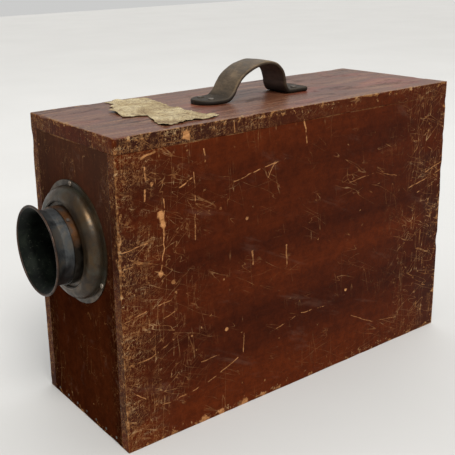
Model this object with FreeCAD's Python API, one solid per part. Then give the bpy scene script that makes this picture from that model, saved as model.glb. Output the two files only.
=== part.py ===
import FreeCAD, Part
import math
import os

# Wooden box camera for half-plate portraits.
# Frame: +Z up, the lens looks along -Y, the lid's handle runs along Y.
# The origin is the centre of the case's underside. Millimetres throughout.

# Case
CASE_W = 160.0
CASE_L = 440.0
CASE_H = 300.0
LID_T = 15.0
WALL = 12.0
ARRIS = 1.0
HALF_W = CASE_W / 2
HALF_L = CASE_L / 2
BODY_H = CASE_H - LID_T
IN_X = HALF_W - WALL
IN_Y = HALF_L - WALL
PAST = 1.0  # how far a cut runs past the face it starts from

# Optics
AXIS_Z = 187.5
TUBE_R = 36.0
TUBE_WALL = 1.5
TUBE_BORE = TUBE_R - TUBE_WALL
MOUTH_R = 42.9
RIM_WIRE = 1.1
MOUTH_OUT = 41.0
FLARE_LENGTH = 11.0
FLARE_MIDDLE = 0.42
FLARE_OUTER_SHARE = 0.36
FLARE_INNER_SHARE = 0.32
TUBE_REAR = -148.0
SLEEVE_WALL = 1.3
SLEEVE_OUT = 20.0
SLEEVE_REAR = -195.0
PANEL_HOLE_R = 38.0
RUN = 0.06
FLANGE_R = 59.7
FLANGE_T = 1.4
FLANGE_OUT = 14.2
BEAD_R = 41.2
FLANGE_SCREW_R = 57.1
FLANGE_LIP_W = 5.4
DOME_MIDDLE = (51.4, 10.6)
DOME_TOP = (43.4, 13.8)
UNDER_MIDDLE = (50.3, 8.9)
UNDER_INSET = 1.5
BEAD_CREST = 0.9
BEAD_FOOT = 0.2
BEAD_H = 1.0
COUNTERBORE = 3.0
FLOOR_T = 1.6
FLOOR_MARGIN = 0.6
NUT_R = 46.0
NUT_T = 5.0
SET_SCREW_R = 0.9
SET_SCREW_HEAD_R = 1.6
SET_SCREW_HEAD_T = 1.1
SET_SCREW_GAP = 0.1
SET_SCREW_TIP = 0.3
SET_SCREW_Y = -HALF_L - 17.6
SET_SCREW_TURN = 36.0
FRONT_CELL_Y = -186.0
REAR_CELL_Y = -156.0
CELL_L = 8.0
CELL_BORE = 30.5
GLASS_R = CELL_BORE - 0.05
RING_BORE = 28.5
RING_T = 1.6
OUTER_RIM = 2.0
OUTER_RISE = 2.4
JOINT_RIM = 0.6
JOINT_RISE = 2.0
INNER_RIM = 2.4
INNER_RISE = 0.8
STOP_Y = -167.0
STOP_T = 1.0
STOP_HALF_W = 26.0
STOP_HOLE_R = 11.0
STOP_TOP = 44.0
STOP_SHOULDER = 38.0
STOP_TAB_HALF_W = 9.0
STOP_TAB_ROOT = 30.0
STOP_SIDE_PLAY = 0.3
STOP_FACE_PLAY = 0.1

# Flap shutter
SHAFT_R = 2.5
SHAFT_Y = -131.0
SHAFT_Z = 231.5
FLAP_W = 80.0
FLAP_BOTTOM = 147.0
FLAP_T = 2.0
HEM_WALL = 1.1
SHAFT_PROUD = 1.0
SHAFT_END_GAP = 0.3
SHUTTER_BUSH_R = 5.0
BUSH_FLANGE_R = 7.5
BUSH_FLANGE_T = 1.5
BUSH_BLOCK = 16.0
BUSH_BLOCK_T = 6.0
LEVER_X = -87.5
LEVER_T = 3.0
LEVER_L = 38.0
LEVER_HUB_R = 6.0
LEVER_FOOT_R = 5.0
LEVER_ARM_HALF_W = 3.5
LEVER_BUTTON_R = 4.2
LEVER_BUTTON_L = 5.0

# Light path: half plate, upright
PLATE_W = 121.0
PLATE_H = 165.0
PLATE_LOW = AXIS_Z - PLATE_H / 2
PLATE_HIGH = AXIS_Z + PLATE_H / 2
BAFFLE_T = 6.0
BAFFLE_TOP = 279.0
FRONT_BAFFLE_Y = -34.0
REAR_BAFFLE_Y = 78.0
FRONT_OPENING = (42.0, 49.0)
REAR_OPENING = (52.0, 66.0)

# Plate holder, a double book of two plates
HOLDER_X0 = -92.0
HOLDER_X1 = 67.0
HOLDER_Y = 193.0
HOLDER_HALF_T = 7.0
HOLDER_Z0 = 101.5
HOLDER_Z1 = 273.5
HOLDER_LIP = 1.4
SLIDE_T = 1.5
SLIDE_PLAY = 0.05
SLOT_PLAY = 0.2
REVEAL = 2.5
SLIDE_END = 62.0
SLIDE_PULL = 8.0
SLIDE_SIDE = 1.0
GRIP_T = 3.0
GRIP_PROUD = 1.2
GRIP_H = 80.0
GLASS_T = 2.0
GLASS_PLAY = 0.3
SEPTUM_T = 1.2
SEPTUM_GAP = 0.1
RAIL_LOW = 92.0
RAIL_T = 5.0
RAIL_LIP_H = 3.0
RAIL_GAP = 0.1
RAIL_REAR = 0.4
SCREEN_Y = 200.6
SCREEN_T = 5.6
SCREEN_HALF_W = 66.0
SCREEN_REBATE = 1.5
SCREEN_PLAY = 0.5
SPRING_INSET = 25.0
SPRING_SIDE_IN = 1.7
SPRING_SIDE_OUT = 0.2
SPRING_T = 0.4
SPRING_BOW = 0.9

# Rear door
DOOR_Z0 = 90.5
DOOR_Z1 = 272.5
DOOR_X0 = -67.5
DOOR_X1 = 66.9
DOOR_AXIS_X = -IN_X + 0.25
DOOR_GAP = 0.5
KNOB_X = 52.0
KNOB_FOOT_R = 3.0
KNOB_FOOT_L = 6.0
KNOB_BASE_R = 5.0
KNOB_NECK = (4.0, 4.0)
KNOB_BELLY = (8.0, 9.0)
KNOB_SHOULDER = (4.5, 14.0)
KNOB_BROW = (2.8, 14.9)
KNOB_TOP = (1.0, 15.2)

# Hinges
LEAF_T = 1.5
KNUCKLE_R = 2.5
PIN_R = 1.2
PIN_PLAY = 0.05
HINGE_SETBACK = 2.6
HINGE_L = 45.0
LEAF_W = 12.0
KNUCKLE_GAP = 0.3
HINGE_SCREW_L = 8.0
HINGE_HEAD_R = 2.0
HINGE_SCREW_SHARE = 0.33
WEB_REACH = 2.0
LID_HINGE_MIDDLES = (-130.0, 130.0)
DOOR_HINGE_MIDDLES = (125.0, 238.0)

# Screws and brads
HEAD_R = 2.4
HEAD_T = 1.0
SHANK_R = 1.3
SCREW_L = 9.0
SCREW_PLAY = 0.1
SLOT_W = 0.6
SLOT_D = 0.4
BRAD_R = 0.9
BRAD_HEAD_R = 1.4
BRAD_L = 30.0
BRAD_COUNT = 7
BRAD_INSET = 10.0
BRAD_PROUD = 0.2
BRAD_HEAD_T = 1.0

# Light trap under the lid
TRAP_GAP = 2.0
TRAP_W = 8.0
TRAP_DEPTH = 5.5

# Handle and label; the line is the strap's middle as (y, height above the lid)
STRAP_W = 36.0
STRAP_T = 4.8
STRAP_LINE = [
    (-78.0, 2.4), (-64.0, 2.4), (-51.0, 2.4), (-45.6, 3.6), (-40.0, 8.6), (-35.8, 15.4),
    (-28.8, 23.8), (-18.0, 30.6), (-4.5, 35.0), (8.6, 35.6), (19.2, 32.2), (26.4, 25.4),
    (29.8, 16.0), (31.4, 8.4), (34.8, 3.2), (40.5, 2.4), (51.0, 2.4), (63.0, 2.4),
]
STRAP_FRONT = STRAP_LINE[0][0]
STRAP_REAR = STRAP_LINE[-1][0]
STRAP_STEPS = 48
ARCH_FOOT = 4.0
ARCH_EASE = 8.0
ARCH_THINNING = 0.18
STRAP_SCREW_FRONT = 15.0
STRAP_SCREW_REAR = 14.0
STRAP_SCREW_X = 9.0
STRAP_HEAD_R = 3.2
STRAP_SCREW_L = 15.0
LABEL_T = 0.25
LABEL_OUTLINE = [
    (-73.0, -139.0), (-72.0, -126.0), (-72.0, -105.0), (-63.0, -92.0), (-46.0, -96.0),
    (-27.0, -98.0), (-10.0, -103.0), (5.0, -101.0), (19.0, -103.0), (44.0, -101.0),
    (62.0, -94.0), (68.0, -107.0), (66.0, -119.0), (64.0, -132.0), (67.0, -145.0),
    (69.0, -159.0), (58.0, -160.0), (35.0, -152.0), (18.0, -146.0), (14.0, -157.0),
    (8.0, -167.0), (-13.0, -161.0), (-26.0, -163.0), (-31.0, -150.0), (-50.0, -147.0),
    (-56.0, -138.0),
]

# Catches
CATCH_Z = 279.0
STUD_Z = 292.5
CATCH_GAP = 0.2
CATCH_T = 1.5
PIVOT_R = 1.5
PIVOT_L = 9.0
PIVOT_HEAD_R = 3.0
PIVOT_HEAD_T = 1.4
PIVOT_HEAD_GAP = 0.2
PIVOT_SLOT_HALF_W = 0.35
PIVOT_SLOT_D = 0.6
STUD_L = 8.0
STUD_HEAD_R = 2.8
STUD_HEAD_T = 1.2
STUD_CLEAR = 0.5
HOOK_HUB_R = 4.5
HOOK_HALF_W = 3.2
HOOK_PLAY = 0.25
BUTTON_X = 40.0
BUTTON_Z = 82.0
BUTTON_HALF_L = 15.0
BUTTON_HALF_W = 4.5
BUTTON_T = 3.0

# Tripod bush, 3/8 inch Whitworth
BUSH_Y = -30.0
BUSH_R = 7.0
THREAD_R = 4.0
THREAD_DEPTH = 10.0

X_AXIS = FreeCAD.Vector(1, 0, 0)
Y_AXIS = FreeCAD.Vector(0, 1, 0)
Z_AXIS = FreeCAD.Vector(0, 0, 1)
LENS_CENTRE = FreeCAD.Vector(0, 0, AXIS_Z)


def box(x0, x1, y0, y1, z0, z1):
    """Block between two corners."""
    return Part.makeBox(x1 - x0, y1 - y0, z1 - z0, FreeCAD.Vector(x0, y0, z0))


def rod(radius, start, end):
    """Cylinder from one point to another."""
    first = FreeCAD.Vector(*start)
    along = FreeCAD.Vector(*end) - first
    return Part.makeCylinder(radius, along.Length, first, along)


def tube(outer, inner, start, end):
    """Hollow cylinder from one point to another."""
    return rod(outer, start, end).cut(rod(inner, start, end))


def solid_group(shapes):
    """Separate solids kept together in one node."""
    return Part.makeCompound(shapes)


def lens_point(radius, y, turn=0.0):
    """Point at a radius from the lens axis, turned clockwise from the top as seen from the front."""
    angle = math.radians(turn)
    return FreeCAD.Vector(radius * math.sin(angle), y, AXIS_Z + radius * math.cos(angle))


def spin(edges):
    """Turn a closed half-section, drawn above the lens axis, into a round solid."""
    face = Part.Face(Part.Wire(edges))
    return face.revolve(LENS_CENTRE, Y_AXIS, 360)


def straight(points):
    """Straight edges through the points."""
    return [Part.makeLine(first, last) for first, last in zip(points, points[1:])]


def curve(first, middle, last):
    """Arc through three points."""
    return Part.Arc(first, middle, last).toShape()


def eased(shape, edge_test):
    """Round off the chosen edges as hand planing does."""
    return shape.makeFillet(ARRIS, [edge for edge in shape.Edges if edge_test(edge.CenterOfMass)])


# ---------------------------------------------------------------- case boards

def bottom_board():
    board = box(-IN_X, IN_X, -IN_Y, IN_Y, 0, WALL)
    return board.cut(rod(BUSH_R, (0, BUSH_Y, 0), (0, BUSH_Y, WALL)))


def side_panel(side):
    """Long board; its outer long edges are eased."""
    inner, outer = sorted((side * IN_X, side * HALF_W))
    board = box(inner, outer, -HALF_L, HALF_L, 0, BODY_H)

    def is_outer(centre):
        at_face = abs(abs(centre.x) - HALF_W) < ARRIS
        return at_face and centre.z < BODY_H - ARRIS

    return eased(board, is_outer)


def side_panel_left():
    board = side_panel(-1)
    reach = HOLDER_HALF_T + SLOT_PLAY
    out = -HALF_W - PAST
    inside = -IN_X + PAST
    slot = box(out, inside, HOLDER_Y - reach, HOLDER_Y + reach, HOLDER_Z0 - SLOT_PLAY, HOLDER_Z1 + SLOT_PLAY)
    shaft_hole = rod(SHUTTER_BUSH_R, (out, SHAFT_Y, SHAFT_Z), (inside, SHAFT_Y, SHAFT_Z))
    return board.cut(slot).cut(shaft_hole)


def front_panel():
    board = box(-IN_X, IN_X, -HALF_L, -IN_Y, 0, BODY_H)
    return board.cut(rod(PANEL_HOLE_R, (0, -HALF_L - PAST, AXIS_Z), (0, -IN_Y + PAST, AXIS_Z)))


def baffle(front_y, opening):
    """Partition with a rectangular opening, given by its half sizes, about the lens axis."""
    half_w, half_h = opening
    rear_y = front_y + BAFFLE_T
    board = box(-IN_X, IN_X, front_y, rear_y, WALL, BAFFLE_TOP)
    return board.cut(box(-half_w, half_w, front_y - PAST, rear_y + PAST, AXIS_Z - half_h, AXIS_Z + half_h))


def front_brads():
    """Row of brads through the front panel into the bottom board."""
    reach = IN_X - BRAD_INSET
    head_y = -HALF_L - BRAD_PROUD
    brads = []
    for index in range(BRAD_COUNT):
        x = -reach + 2 * reach * index / (BRAD_COUNT - 1)
        shank = rod(BRAD_R, (x, -HALF_L, WALL / 2), (x, -HALF_L + BRAD_L, WALL / 2))
        head = rod(BRAD_HEAD_R, (x, head_y, WALL / 2), (x, head_y + BRAD_HEAD_T, WALL / 2))
        brads.append(shank.fuse(head))
    return solid_group(brads)


def tripod_bush():
    body = rod(BUSH_R, (0, BUSH_Y, 0), (0, BUSH_Y, WALL))
    return body.cut(rod(THREAD_R, (0, BUSH_Y, 0), (0, BUSH_Y, THREAD_DEPTH)))


# ---------------------------------------------------------------- lens mount

def flange_section():
    """Spun brass shell: flat lip, convex dome and rolled bead, drawn as a closed half-section."""
    face_y = -HALF_L
    lip_in = FLANGE_R - FLANGE_LIP_W
    top_y = face_y - FLANGE_OUT
    floor_y = top_y + COUNTERBORE
    under_y = floor_y + FLOOR_T
    bore = TUBE_R + RUN + SLEEVE_WALL
    outer = [
        lens_point(FLANGE_R, face_y),
        lens_point(FLANGE_R, face_y - FLANGE_T),
        lens_point(lip_in, face_y - FLANGE_T),
    ]
    dome_mid = lens_point(DOME_MIDDLE[0], face_y - DOME_MIDDLE[1])
    shoulder = lens_point(DOME_TOP[0], face_y - DOME_TOP[1])
    bead_top = lens_point(BEAD_R + BEAD_CREST, top_y)
    bead_in = lens_point(BEAD_R - BEAD_FOOT, top_y + BEAD_H)
    step = lens_point(BEAD_R - BEAD_FOOT, floor_y)
    under_mid = lens_point(UNDER_MIDDLE[0], face_y - UNDER_MIDDLE[1])
    under_out = lens_point(lip_in - UNDER_INSET, face_y)
    floor_in = lens_point(bore, floor_y)
    floor_back = lens_point(bore, under_y)
    under_in = lens_point(BEAD_R + FLOOR_MARGIN, under_y)
    edges = straight(outer)
    edges.append(curve(outer[-1], dome_mid, shoulder))
    edges += straight([shoulder, bead_top, bead_in, step, floor_in, floor_back, under_in])
    edges.append(curve(under_in, under_mid, under_out))
    edges.append(Part.makeLine(under_out, outer[0]))
    return edges


def flange_screw_points():
    return [lens_point(FLANGE_SCREW_R, -HALF_L - FLANGE_T, turn) for turn in (0, 120, 240)]


def lens_flange():
    shell = spin(flange_section())
    through = FreeCAD.Vector(0, FLANGE_T + PAST, 0)
    room = FreeCAD.Vector(0, -HEAD_T - 3 * PAST, 0)
    for point in flange_screw_points():
        hole = rod(SHANK_R + SCREW_PLAY, point, point + through)
        head_room = rod(HEAD_R + SCREW_PLAY, point + room, point)
        shell = shell.cut(hole).cut(head_room)
    return shell


def screw(point, direction, length=SCREW_L, head_r=HEAD_R, slot_turn=0.0):
    """Wood screw: slotted round head standing on the point, shank driven along the direction."""
    seat = FreeCAD.Vector(*point)
    inward = FreeCAD.Vector(*direction)
    head = Part.makeCylinder(head_r, HEAD_T, seat - inward * HEAD_T, inward)
    rim = [edge for edge in head.Edges if (edge.CenterOfMass - seat).dot(inward) < -HEAD_T / 2]
    head = head.makeFillet(HEAD_T * 0.6, [edge for edge in rim if edge.Closed])
    shank = Part.makeCylinder(SHANK_R, length, seat, inward)
    slot = box(-head_r - PAST, head_r + PAST, -SLOT_W / 2, SLOT_W / 2, -SLOT_D, SLOT_D)
    slot.rotate(FreeCAD.Vector(0, 0, 0), Z_AXIS, slot_turn)
    at_head = FreeCAD.Placement(seat - inward * HEAD_T, FreeCAD.Rotation(Z_AXIS, inward))
    slot.Placement = at_head * slot.Placement
    return head.fuse(shank).cut(slot)


def flange_screws():
    screws = []
    for index, point in enumerate(flange_screw_points()):
        screws.append(screw(tuple(point), (0, 1, 0), slot_turn=40.0 * index))
    return solid_group(screws)


def lens_sleeve():
    inner = TUBE_R + RUN
    sleeve = tube(inner + SLEEVE_WALL, inner, (0, -HALF_L - SLEEVE_OUT, AXIS_Z), (0, SLEEVE_REAR, AXIS_Z))
    hole_in = lens_point(inner - PAST, SET_SCREW_Y, SET_SCREW_TURN)
    hole_out = lens_point(inner + SLEEVE_WALL + PAST, SET_SCREW_Y, SET_SCREW_TURN)
    return sleeve.cut(rod(SET_SCREW_R, hole_in, hole_out))


def collar_screw():
    bore = TUBE_R + RUN
    seat_r = bore + SLEEVE_WALL + SET_SCREW_GAP
    tip = lens_point(bore + SET_SCREW_TIP, SET_SCREW_Y, SET_SCREW_TURN)
    seat = lens_point(seat_r, SET_SCREW_Y, SET_SCREW_TURN)
    top = lens_point(seat_r + SET_SCREW_HEAD_T, SET_SCREW_Y, SET_SCREW_TURN)
    return rod(SET_SCREW_R, tip, seat).fuse(rod(SET_SCREW_HEAD_R, seat, top))


def sleeve_nut():
    bore = TUBE_R + RUN + SLEEVE_WALL
    return tube(NUT_R, bore, (0, -IN_Y, AXIS_Z), (0, -IN_Y + NUT_T, AXIS_Z))


# ---------------------------------------------------------------- lens tube

def rim_centre():
    return lens_point(MOUTH_R - RIM_WIRE, -HALF_L - MOUTH_OUT + RIM_WIRE)


def hood_rim():
    centre = rim_centre()
    circle = Part.makeCircle(RIM_WIRE, centre, X_AXIS)
    return spin([circle])


def lens_hood():
    """Tube with a trumpet mouth and a cross slot for the stop."""
    mouth_y = rim_centre().y
    neck_y = mouth_y + FLARE_LENGTH
    grow = MOUTH_R - RIM_WIRE - TUBE_R
    mid_y = mouth_y + FLARE_LENGTH * FLARE_MIDDLE
    outer_mouth = lens_point(TUBE_R + grow, mouth_y)
    outer_mid = lens_point(TUBE_R + grow * FLARE_OUTER_SHARE, mid_y)
    outer_neck = lens_point(TUBE_R, neck_y)
    inner_mouth = lens_point(TUBE_BORE + grow, mouth_y)
    inner_mid = lens_point(TUBE_BORE + grow * FLARE_INNER_SHARE, mid_y)
    inner_neck = lens_point(TUBE_BORE, neck_y)
    edges = [curve(outer_mouth, outer_mid, outer_neck)]
    outer_rear = lens_point(TUBE_R, TUBE_REAR)
    inner_rear = lens_point(TUBE_BORE, TUBE_REAR)
    edges += straight([outer_neck, outer_rear, inner_rear, inner_neck])
    edges.append(curve(inner_neck, inner_mid, inner_mouth))
    edges.append(Part.makeLine(inner_mouth, outer_mouth))
    hood = spin(edges).cut(hood_rim())
    half_w = STOP_HALF_W + STOP_SIDE_PLAY
    half_t = STOP_T / 2 + STOP_FACE_PLAY
    slot = box(-half_w, half_w, STOP_Y - half_t, STOP_Y + half_t, AXIS_Z, AXIS_Z + TUBE_R + PAST)
    return hood.cut(slot)


def lens_cell(front_y):
    """Threaded ring that holds one cemented pair of glasses."""
    return tube(TUBE_BORE, CELL_BORE, (0, front_y, AXIS_Z), (0, front_y + CELL_L, AXIS_Z))


def ball_through(rim_y, pole_y):
    """Ball whose surface passes through a glass's rim circle and through its pole."""
    rise = pole_y - rim_y
    radius = (GLASS_R ** 2 + rise ** 2) / (2 * abs(rise))
    centre_y = pole_y - math.copysign(radius, rise)
    return Part.makeSphere(radius, FreeCAD.Vector(0, centre_y, AXIS_Z))


def glass_pair(front_y, facing):
    """Crown and flint of one cemented pair; facing is -1 when the crown looks forward."""
    middle = front_y + CELL_L / 2
    outer_rim = middle + facing * OUTER_RIM
    joint_rim = middle + facing * JOINT_RIM
    inner_rim = middle - facing * INNER_RIM
    outer_pole = outer_rim + facing * OUTER_RISE
    joint_pole = joint_rim - facing * JOINT_RISE
    inner_pole = inner_rim - facing * INNER_RISE
    outer_ball = ball_through(outer_rim, outer_pole)
    joint_ball = ball_through(joint_rim, joint_pole)
    inner_ball = ball_through(inner_rim, inner_pole)
    blank = rod(GLASS_R, (0, outer_pole, AXIS_Z), (0, joint_pole, AXIS_Z))
    crown = blank.common(outer_ball).common(joint_ball)
    blank = rod(GLASS_R, (0, joint_rim, AXIS_Z), (0, inner_pole, AXIS_Z))
    flint = blank.common(inner_ball).cut(joint_ball)
    return crown, flint


def retaining_rings():
    """Ring in the tube before the front glasses, and ring in the rear cell behind its glasses."""
    front_y = FRONT_CELL_Y - RING_T
    rear_y = REAR_CELL_Y + CELL_L
    front = tube(TUBE_BORE, RING_BORE, (0, front_y, AXIS_Z), (0, front_y + RING_T, AXIS_Z))
    rear = tube(CELL_BORE - SCREW_PLAY, RING_BORE, (0, rear_y - RING_T, AXIS_Z), (0, rear_y, AXIS_Z))
    return solid_group([front, rear])


def waterhouse_stop():
    """Thin plate with a round hole; a tab stands out of the tube for the fingers."""
    y0 = STOP_Y - STOP_T / 2
    y1 = STOP_Y + STOP_T / 2
    plate = box(-STOP_HALF_W, STOP_HALF_W, y0, y1, AXIS_Z - TUBE_R, AXIS_Z + STOP_TAB_ROOT)
    below = rod(TUBE_BORE - STOP_FACE_PLAY, (0, y0, AXIS_Z), (0, y1, AXIS_Z))
    upper = box(-STOP_HALF_W, STOP_HALF_W, y0, y1, AXIS_Z, AXIS_Z + STOP_SHOULDER)
    tab = box(-STOP_TAB_HALF_W, STOP_TAB_HALF_W, y0, y1, AXIS_Z + STOP_TAB_ROOT, AXIS_Z + STOP_TOP)
    hole = rod(STOP_HOLE_R, (0, y0 - PAST, AXIS_Z), (0, y1 + PAST, AXIS_Z))
    return plate.common(below).fuse(upper).fuse(tab).removeSplitter().cut(hole)


# ---------------------------------------------------------------- flap shutter

def shutter_shaft():
    return rod(SHAFT_R, (LEVER_X - SHAFT_PROUD, SHAFT_Y, SHAFT_Z), (IN_X - SHAFT_END_GAP, SHAFT_Y, SHAFT_Z))


def shutter_flap():
    """Blade hanging from a hem that is pinned round the shaft."""
    half = FLAP_W / 2
    hem = rod(SHAFT_R + HEM_WALL, (-half, SHAFT_Y, SHAFT_Z), (half, SHAFT_Y, SHAFT_Z))
    blade = box(-half, half, SHAFT_Y - FLAP_T / 2, SHAFT_Y + FLAP_T / 2, FLAP_BOTTOM, SHAFT_Z)
    bore = rod(SHAFT_R, (-half - PAST, SHAFT_Y, SHAFT_Z), (half + PAST, SHAFT_Y, SHAFT_Z))
    return hem.fuse(blade).cut(bore)


def shutter_lever():
    """Hanging arm on the shaft's outer end, with a finger button at its foot."""
    back_x = LEVER_X + LEVER_T
    foot_z = SHAFT_Z - LEVER_L
    half_w = LEVER_ARM_HALF_W
    hub = rod(LEVER_HUB_R, (LEVER_X, SHAFT_Y, SHAFT_Z), (back_x, SHAFT_Y, SHAFT_Z))
    foot = rod(LEVER_FOOT_R, (LEVER_X, SHAFT_Y, foot_z), (back_x, SHAFT_Y, foot_z))
    arm = box(LEVER_X, back_x, SHAFT_Y - half_w, SHAFT_Y + half_w, foot_z, SHAFT_Z)
    button = rod(LEVER_BUTTON_R, (LEVER_X - LEVER_BUTTON_L, SHAFT_Y, foot_z), (LEVER_X, SHAFT_Y, foot_z))
    lever = hub.fuse(arm).fuse(foot).fuse(button).removeSplitter()
    return lever.cut(rod(SHAFT_R, (LEVER_X - PAST, SHAFT_Y, SHAFT_Z), (back_x + PAST, SHAFT_Y, SHAFT_Z)))


def shutter_bushes():
    bore = SHAFT_R + PIN_PLAY
    left = tube(SHUTTER_BUSH_R, bore, (-HALF_W, SHAFT_Y, SHAFT_Z), (-IN_X, SHAFT_Y, SHAFT_Z))
    flange_x = -HALF_W - BUSH_FLANGE_T
    flange = tube(BUSH_FLANGE_R, bore, (flange_x, SHAFT_Y, SHAFT_Z), (-HALF_W, SHAFT_Y, SHAFT_Z))
    half = BUSH_BLOCK / 2
    block_x = IN_X - BUSH_BLOCK_T
    block = box(block_x, IN_X, SHAFT_Y - half, SHAFT_Y + half, SHAFT_Z - half, SHAFT_Z + half)
    right = block.cut(rod(bore, (block_x - PAST, SHAFT_Y, SHAFT_Z), (IN_X + PAST, SHAFT_Y, SHAFT_Z)))
    return solid_group([left.fuse(flange), right])


# ---------------------------------------------------------------- hinges

def knuckle_spans(middle, fixed):
    """Lengths of the barrel that one leaf owns: the two ends, or the middle."""
    third = HINGE_L / 3
    start = middle - HINGE_L / 2
    ends = [(start, start + third), (start + 2 * third, start + HINGE_L)]
    centre = [(start + third + KNUCKLE_GAP, start + 2 * third - KNUCKLE_GAP)]
    return ends if fixed else centre


def hinge_screw_places(middle, fixed):
    """Two points on a leaf's outer face."""
    side = -1 if fixed else 1
    seat_y = side * (LEAF_W + KNUCKLE_R) / 2
    reach = HINGE_SCREW_SHARE * HINGE_L
    return [(HINGE_SETBACK - LEAF_T, seat_y, middle + offset) for offset in (-reach, reach)]


def hinge_leaf(middle, fixed):
    """One leaf, drawn with its barrel on the Z axis, its plate's back on x = HINGE_SETBACK
    and the plate running towards -Y when fixed or +Y when moving."""
    side = -1 if fixed else 1
    low_y, high_y = sorted((side * KNUCKLE_GAP, side * LEAF_W))
    start = middle - HINGE_L / 2
    end = middle + HINGE_L / 2
    leaf = box(HINGE_SETBACK - LEAF_T, HINGE_SETBACK, low_y, high_y, start, end)
    leaf = leaf.cut(rod(KNUCKLE_R + KNUCKLE_GAP, (0, 0, start - PAST), (0, 0, end + PAST)))
    for low, high in knuckle_spans(middle, fixed):
        barrel = rod(KNUCKLE_R, (0, 0, low), (0, 0, high))
        low_y, high_y = sorted((0, side * (KNUCKLE_R + WEB_REACH)))
        web = box(HINGE_SETBACK - LEAF_T, HINGE_SETBACK, low_y, high_y, low, high)
        leaf = leaf.fuse(barrel).fuse(web)
    leaf = leaf.cut(rod(PIN_R + PIN_PLAY, (0, 0, start - PAST), (0, 0, end + PAST)))
    for x, y, z in hinge_screw_places(middle, fixed):
        leaf = leaf.cut(rod(SHANK_R + SCREW_PLAY, (x - PAST, y, z), (x + LEAF_T + PAST, y, z)))
    return leaf.removeSplitter()


def hinge_pin(middle):
    half = HINGE_L / 2
    return rod(PIN_R, (0, 0, middle - half), (0, 0, middle + half))


def hinge_screws(middle, fixed):
    places = hinge_screw_places(middle, fixed)
    return [screw(place, (1, 0, 0), HINGE_SCREW_L, HINGE_HEAD_R, 3 * place[2]) for place in places]


def on_lid_axis(shape):
    """Lay a hinge along the lid's hinge line: its +Y becomes +Z, its +Z becomes -Y."""
    turned = shape.copy()
    turned.rotate(FreeCAD.Vector(0, 0, 0), X_AXIS, 90)
    turned.translate(FreeCAD.Vector(-HALF_W - HINGE_SETBACK, 0, BODY_H))
    return turned


def on_door_axis(shape):
    """Stand a hinge along the door's hinge line: its +X becomes -Y, its +Y becomes +X."""
    turned = shape.copy()
    turned.rotate(FreeCAD.Vector(0, 0, 0), Z_AXIS, -90)
    turned.translate(FreeCAD.Vector(DOOR_AXIS_X, HALF_L + HINGE_SETBACK, 0))
    return turned


def hinge_set(middles, place):
    """All the pieces of one pair of hinges, placed on their line."""
    def screws(fixed):
        return [place(part) for middle in middles for part in hinge_screws(middle, fixed)]

    return {
        "case_leaves": solid_group([place(hinge_leaf(middle, True)) for middle in middles]),
        "moving_leaves": solid_group([place(hinge_leaf(middle, False)) for middle in middles]),
        "pins": solid_group([place(hinge_pin(middle)) for middle in middles]),
        "case_screws": solid_group(screws(True)),
        "moving_screws": solid_group(screws(False)),
    }


# ---------------------------------------------------------------- lid

def lid_board():
    board = box(-HALF_W, HALF_W, -HALF_L, HALF_L, BODY_H, CASE_H)
    return eased(board, lambda centre: centre.z > BODY_H + ARRIS)


def lid_light_trap():
    """Four strips under the lid that stand inside the walls."""
    low = BODY_H - TRAP_DEPTH
    out_x = IN_X - TRAP_GAP
    out_y = IN_Y - TRAP_GAP
    strips = []
    for side in (-1, 1):
        x0, x1 = sorted((side * out_x, side * (out_x - TRAP_W)))
        strips.append(box(x0, x1, -out_y, out_y, low, BODY_H))
        y0, y1 = sorted((side * out_y, side * (out_y - TRAP_W)))
        strips.append(box(-out_x + TRAP_W, out_x - TRAP_W, y0, y1, low, BODY_H))
    return solid_group(strips)


def smooth_edge(points):
    spline = Part.BSplineCurve()
    spline.interpolate(points)
    return spline.toShape()


def strap_half_thickness(height):
    """Half the strap's thickness where its middle is at a height above the lid; the arch is thinner."""
    share = min(1.0, max(0.0, (height - ARCH_FOOT) / ARCH_EASE))
    return STRAP_T / 2 * (1 - ARCH_THINNING * share)


def strap_profile():
    """Closed side outline of the strap, as edges in the plane x = 0."""
    middle = smooth_edge([FreeCAD.Vector(0, y, CASE_H + z) for y, z in STRAP_LINE])
    start, stop = middle.ParameterRange
    upper = []
    lower = []
    for index in range(STRAP_STEPS + 1):
        parameter = start + (stop - start) * index / STRAP_STEPS
        point = middle.valueAt(parameter)
        along = middle.tangentAt(parameter)
        normal = FreeCAD.Vector(0, -along.z, along.y) * strap_half_thickness(point.z - CASE_H)
        upper.append(point + normal)
        lower.append(point - normal)
    return [
        smooth_edge(upper),
        Part.makeLine(upper[-1], lower[-1]),
        smooth_edge(lower),
        Part.makeLine(lower[0], upper[0]),
    ]


def handle_strap():
    """Stiff leather strap; the front tab's end is rounded and the rear one cut square."""
    face = Part.Face(Part.Wire(Part.sortEdges(strap_profile())[0]))
    face.translate(FreeCAD.Vector(-STRAP_W / 2, 0, 0))
    strap = face.extrude(FreeCAD.Vector(STRAP_W, 0, 0))
    round_y = STRAP_FRONT + STRAP_W / 2
    low = CASE_H - PAST
    high = CASE_H + STRAP_T + PAST
    corner = box(-STRAP_W, STRAP_W, STRAP_FRONT - PAST, round_y, low, high)
    corner = corner.cut(rod(STRAP_W / 2, (0, round_y, low), (0, round_y, high)))
    strap = strap.cut(corner)
    under_lid = box(-STRAP_W, STRAP_W, STRAP_FRONT - PAST, STRAP_REAR + PAST, low, CASE_H)
    strap = strap.cut(under_lid)
    for x, y in handle_screw_places():
        strap = strap.cut(rod(SHANK_R, (x, y, low), (x, y, high)))
    return strap


def handle_screw_places():
    rows = (STRAP_FRONT + STRAP_SCREW_FRONT, STRAP_REAR - STRAP_SCREW_REAR)
    return [(x, y) for y in rows for x in (-STRAP_SCREW_X, STRAP_SCREW_X)]


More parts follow.
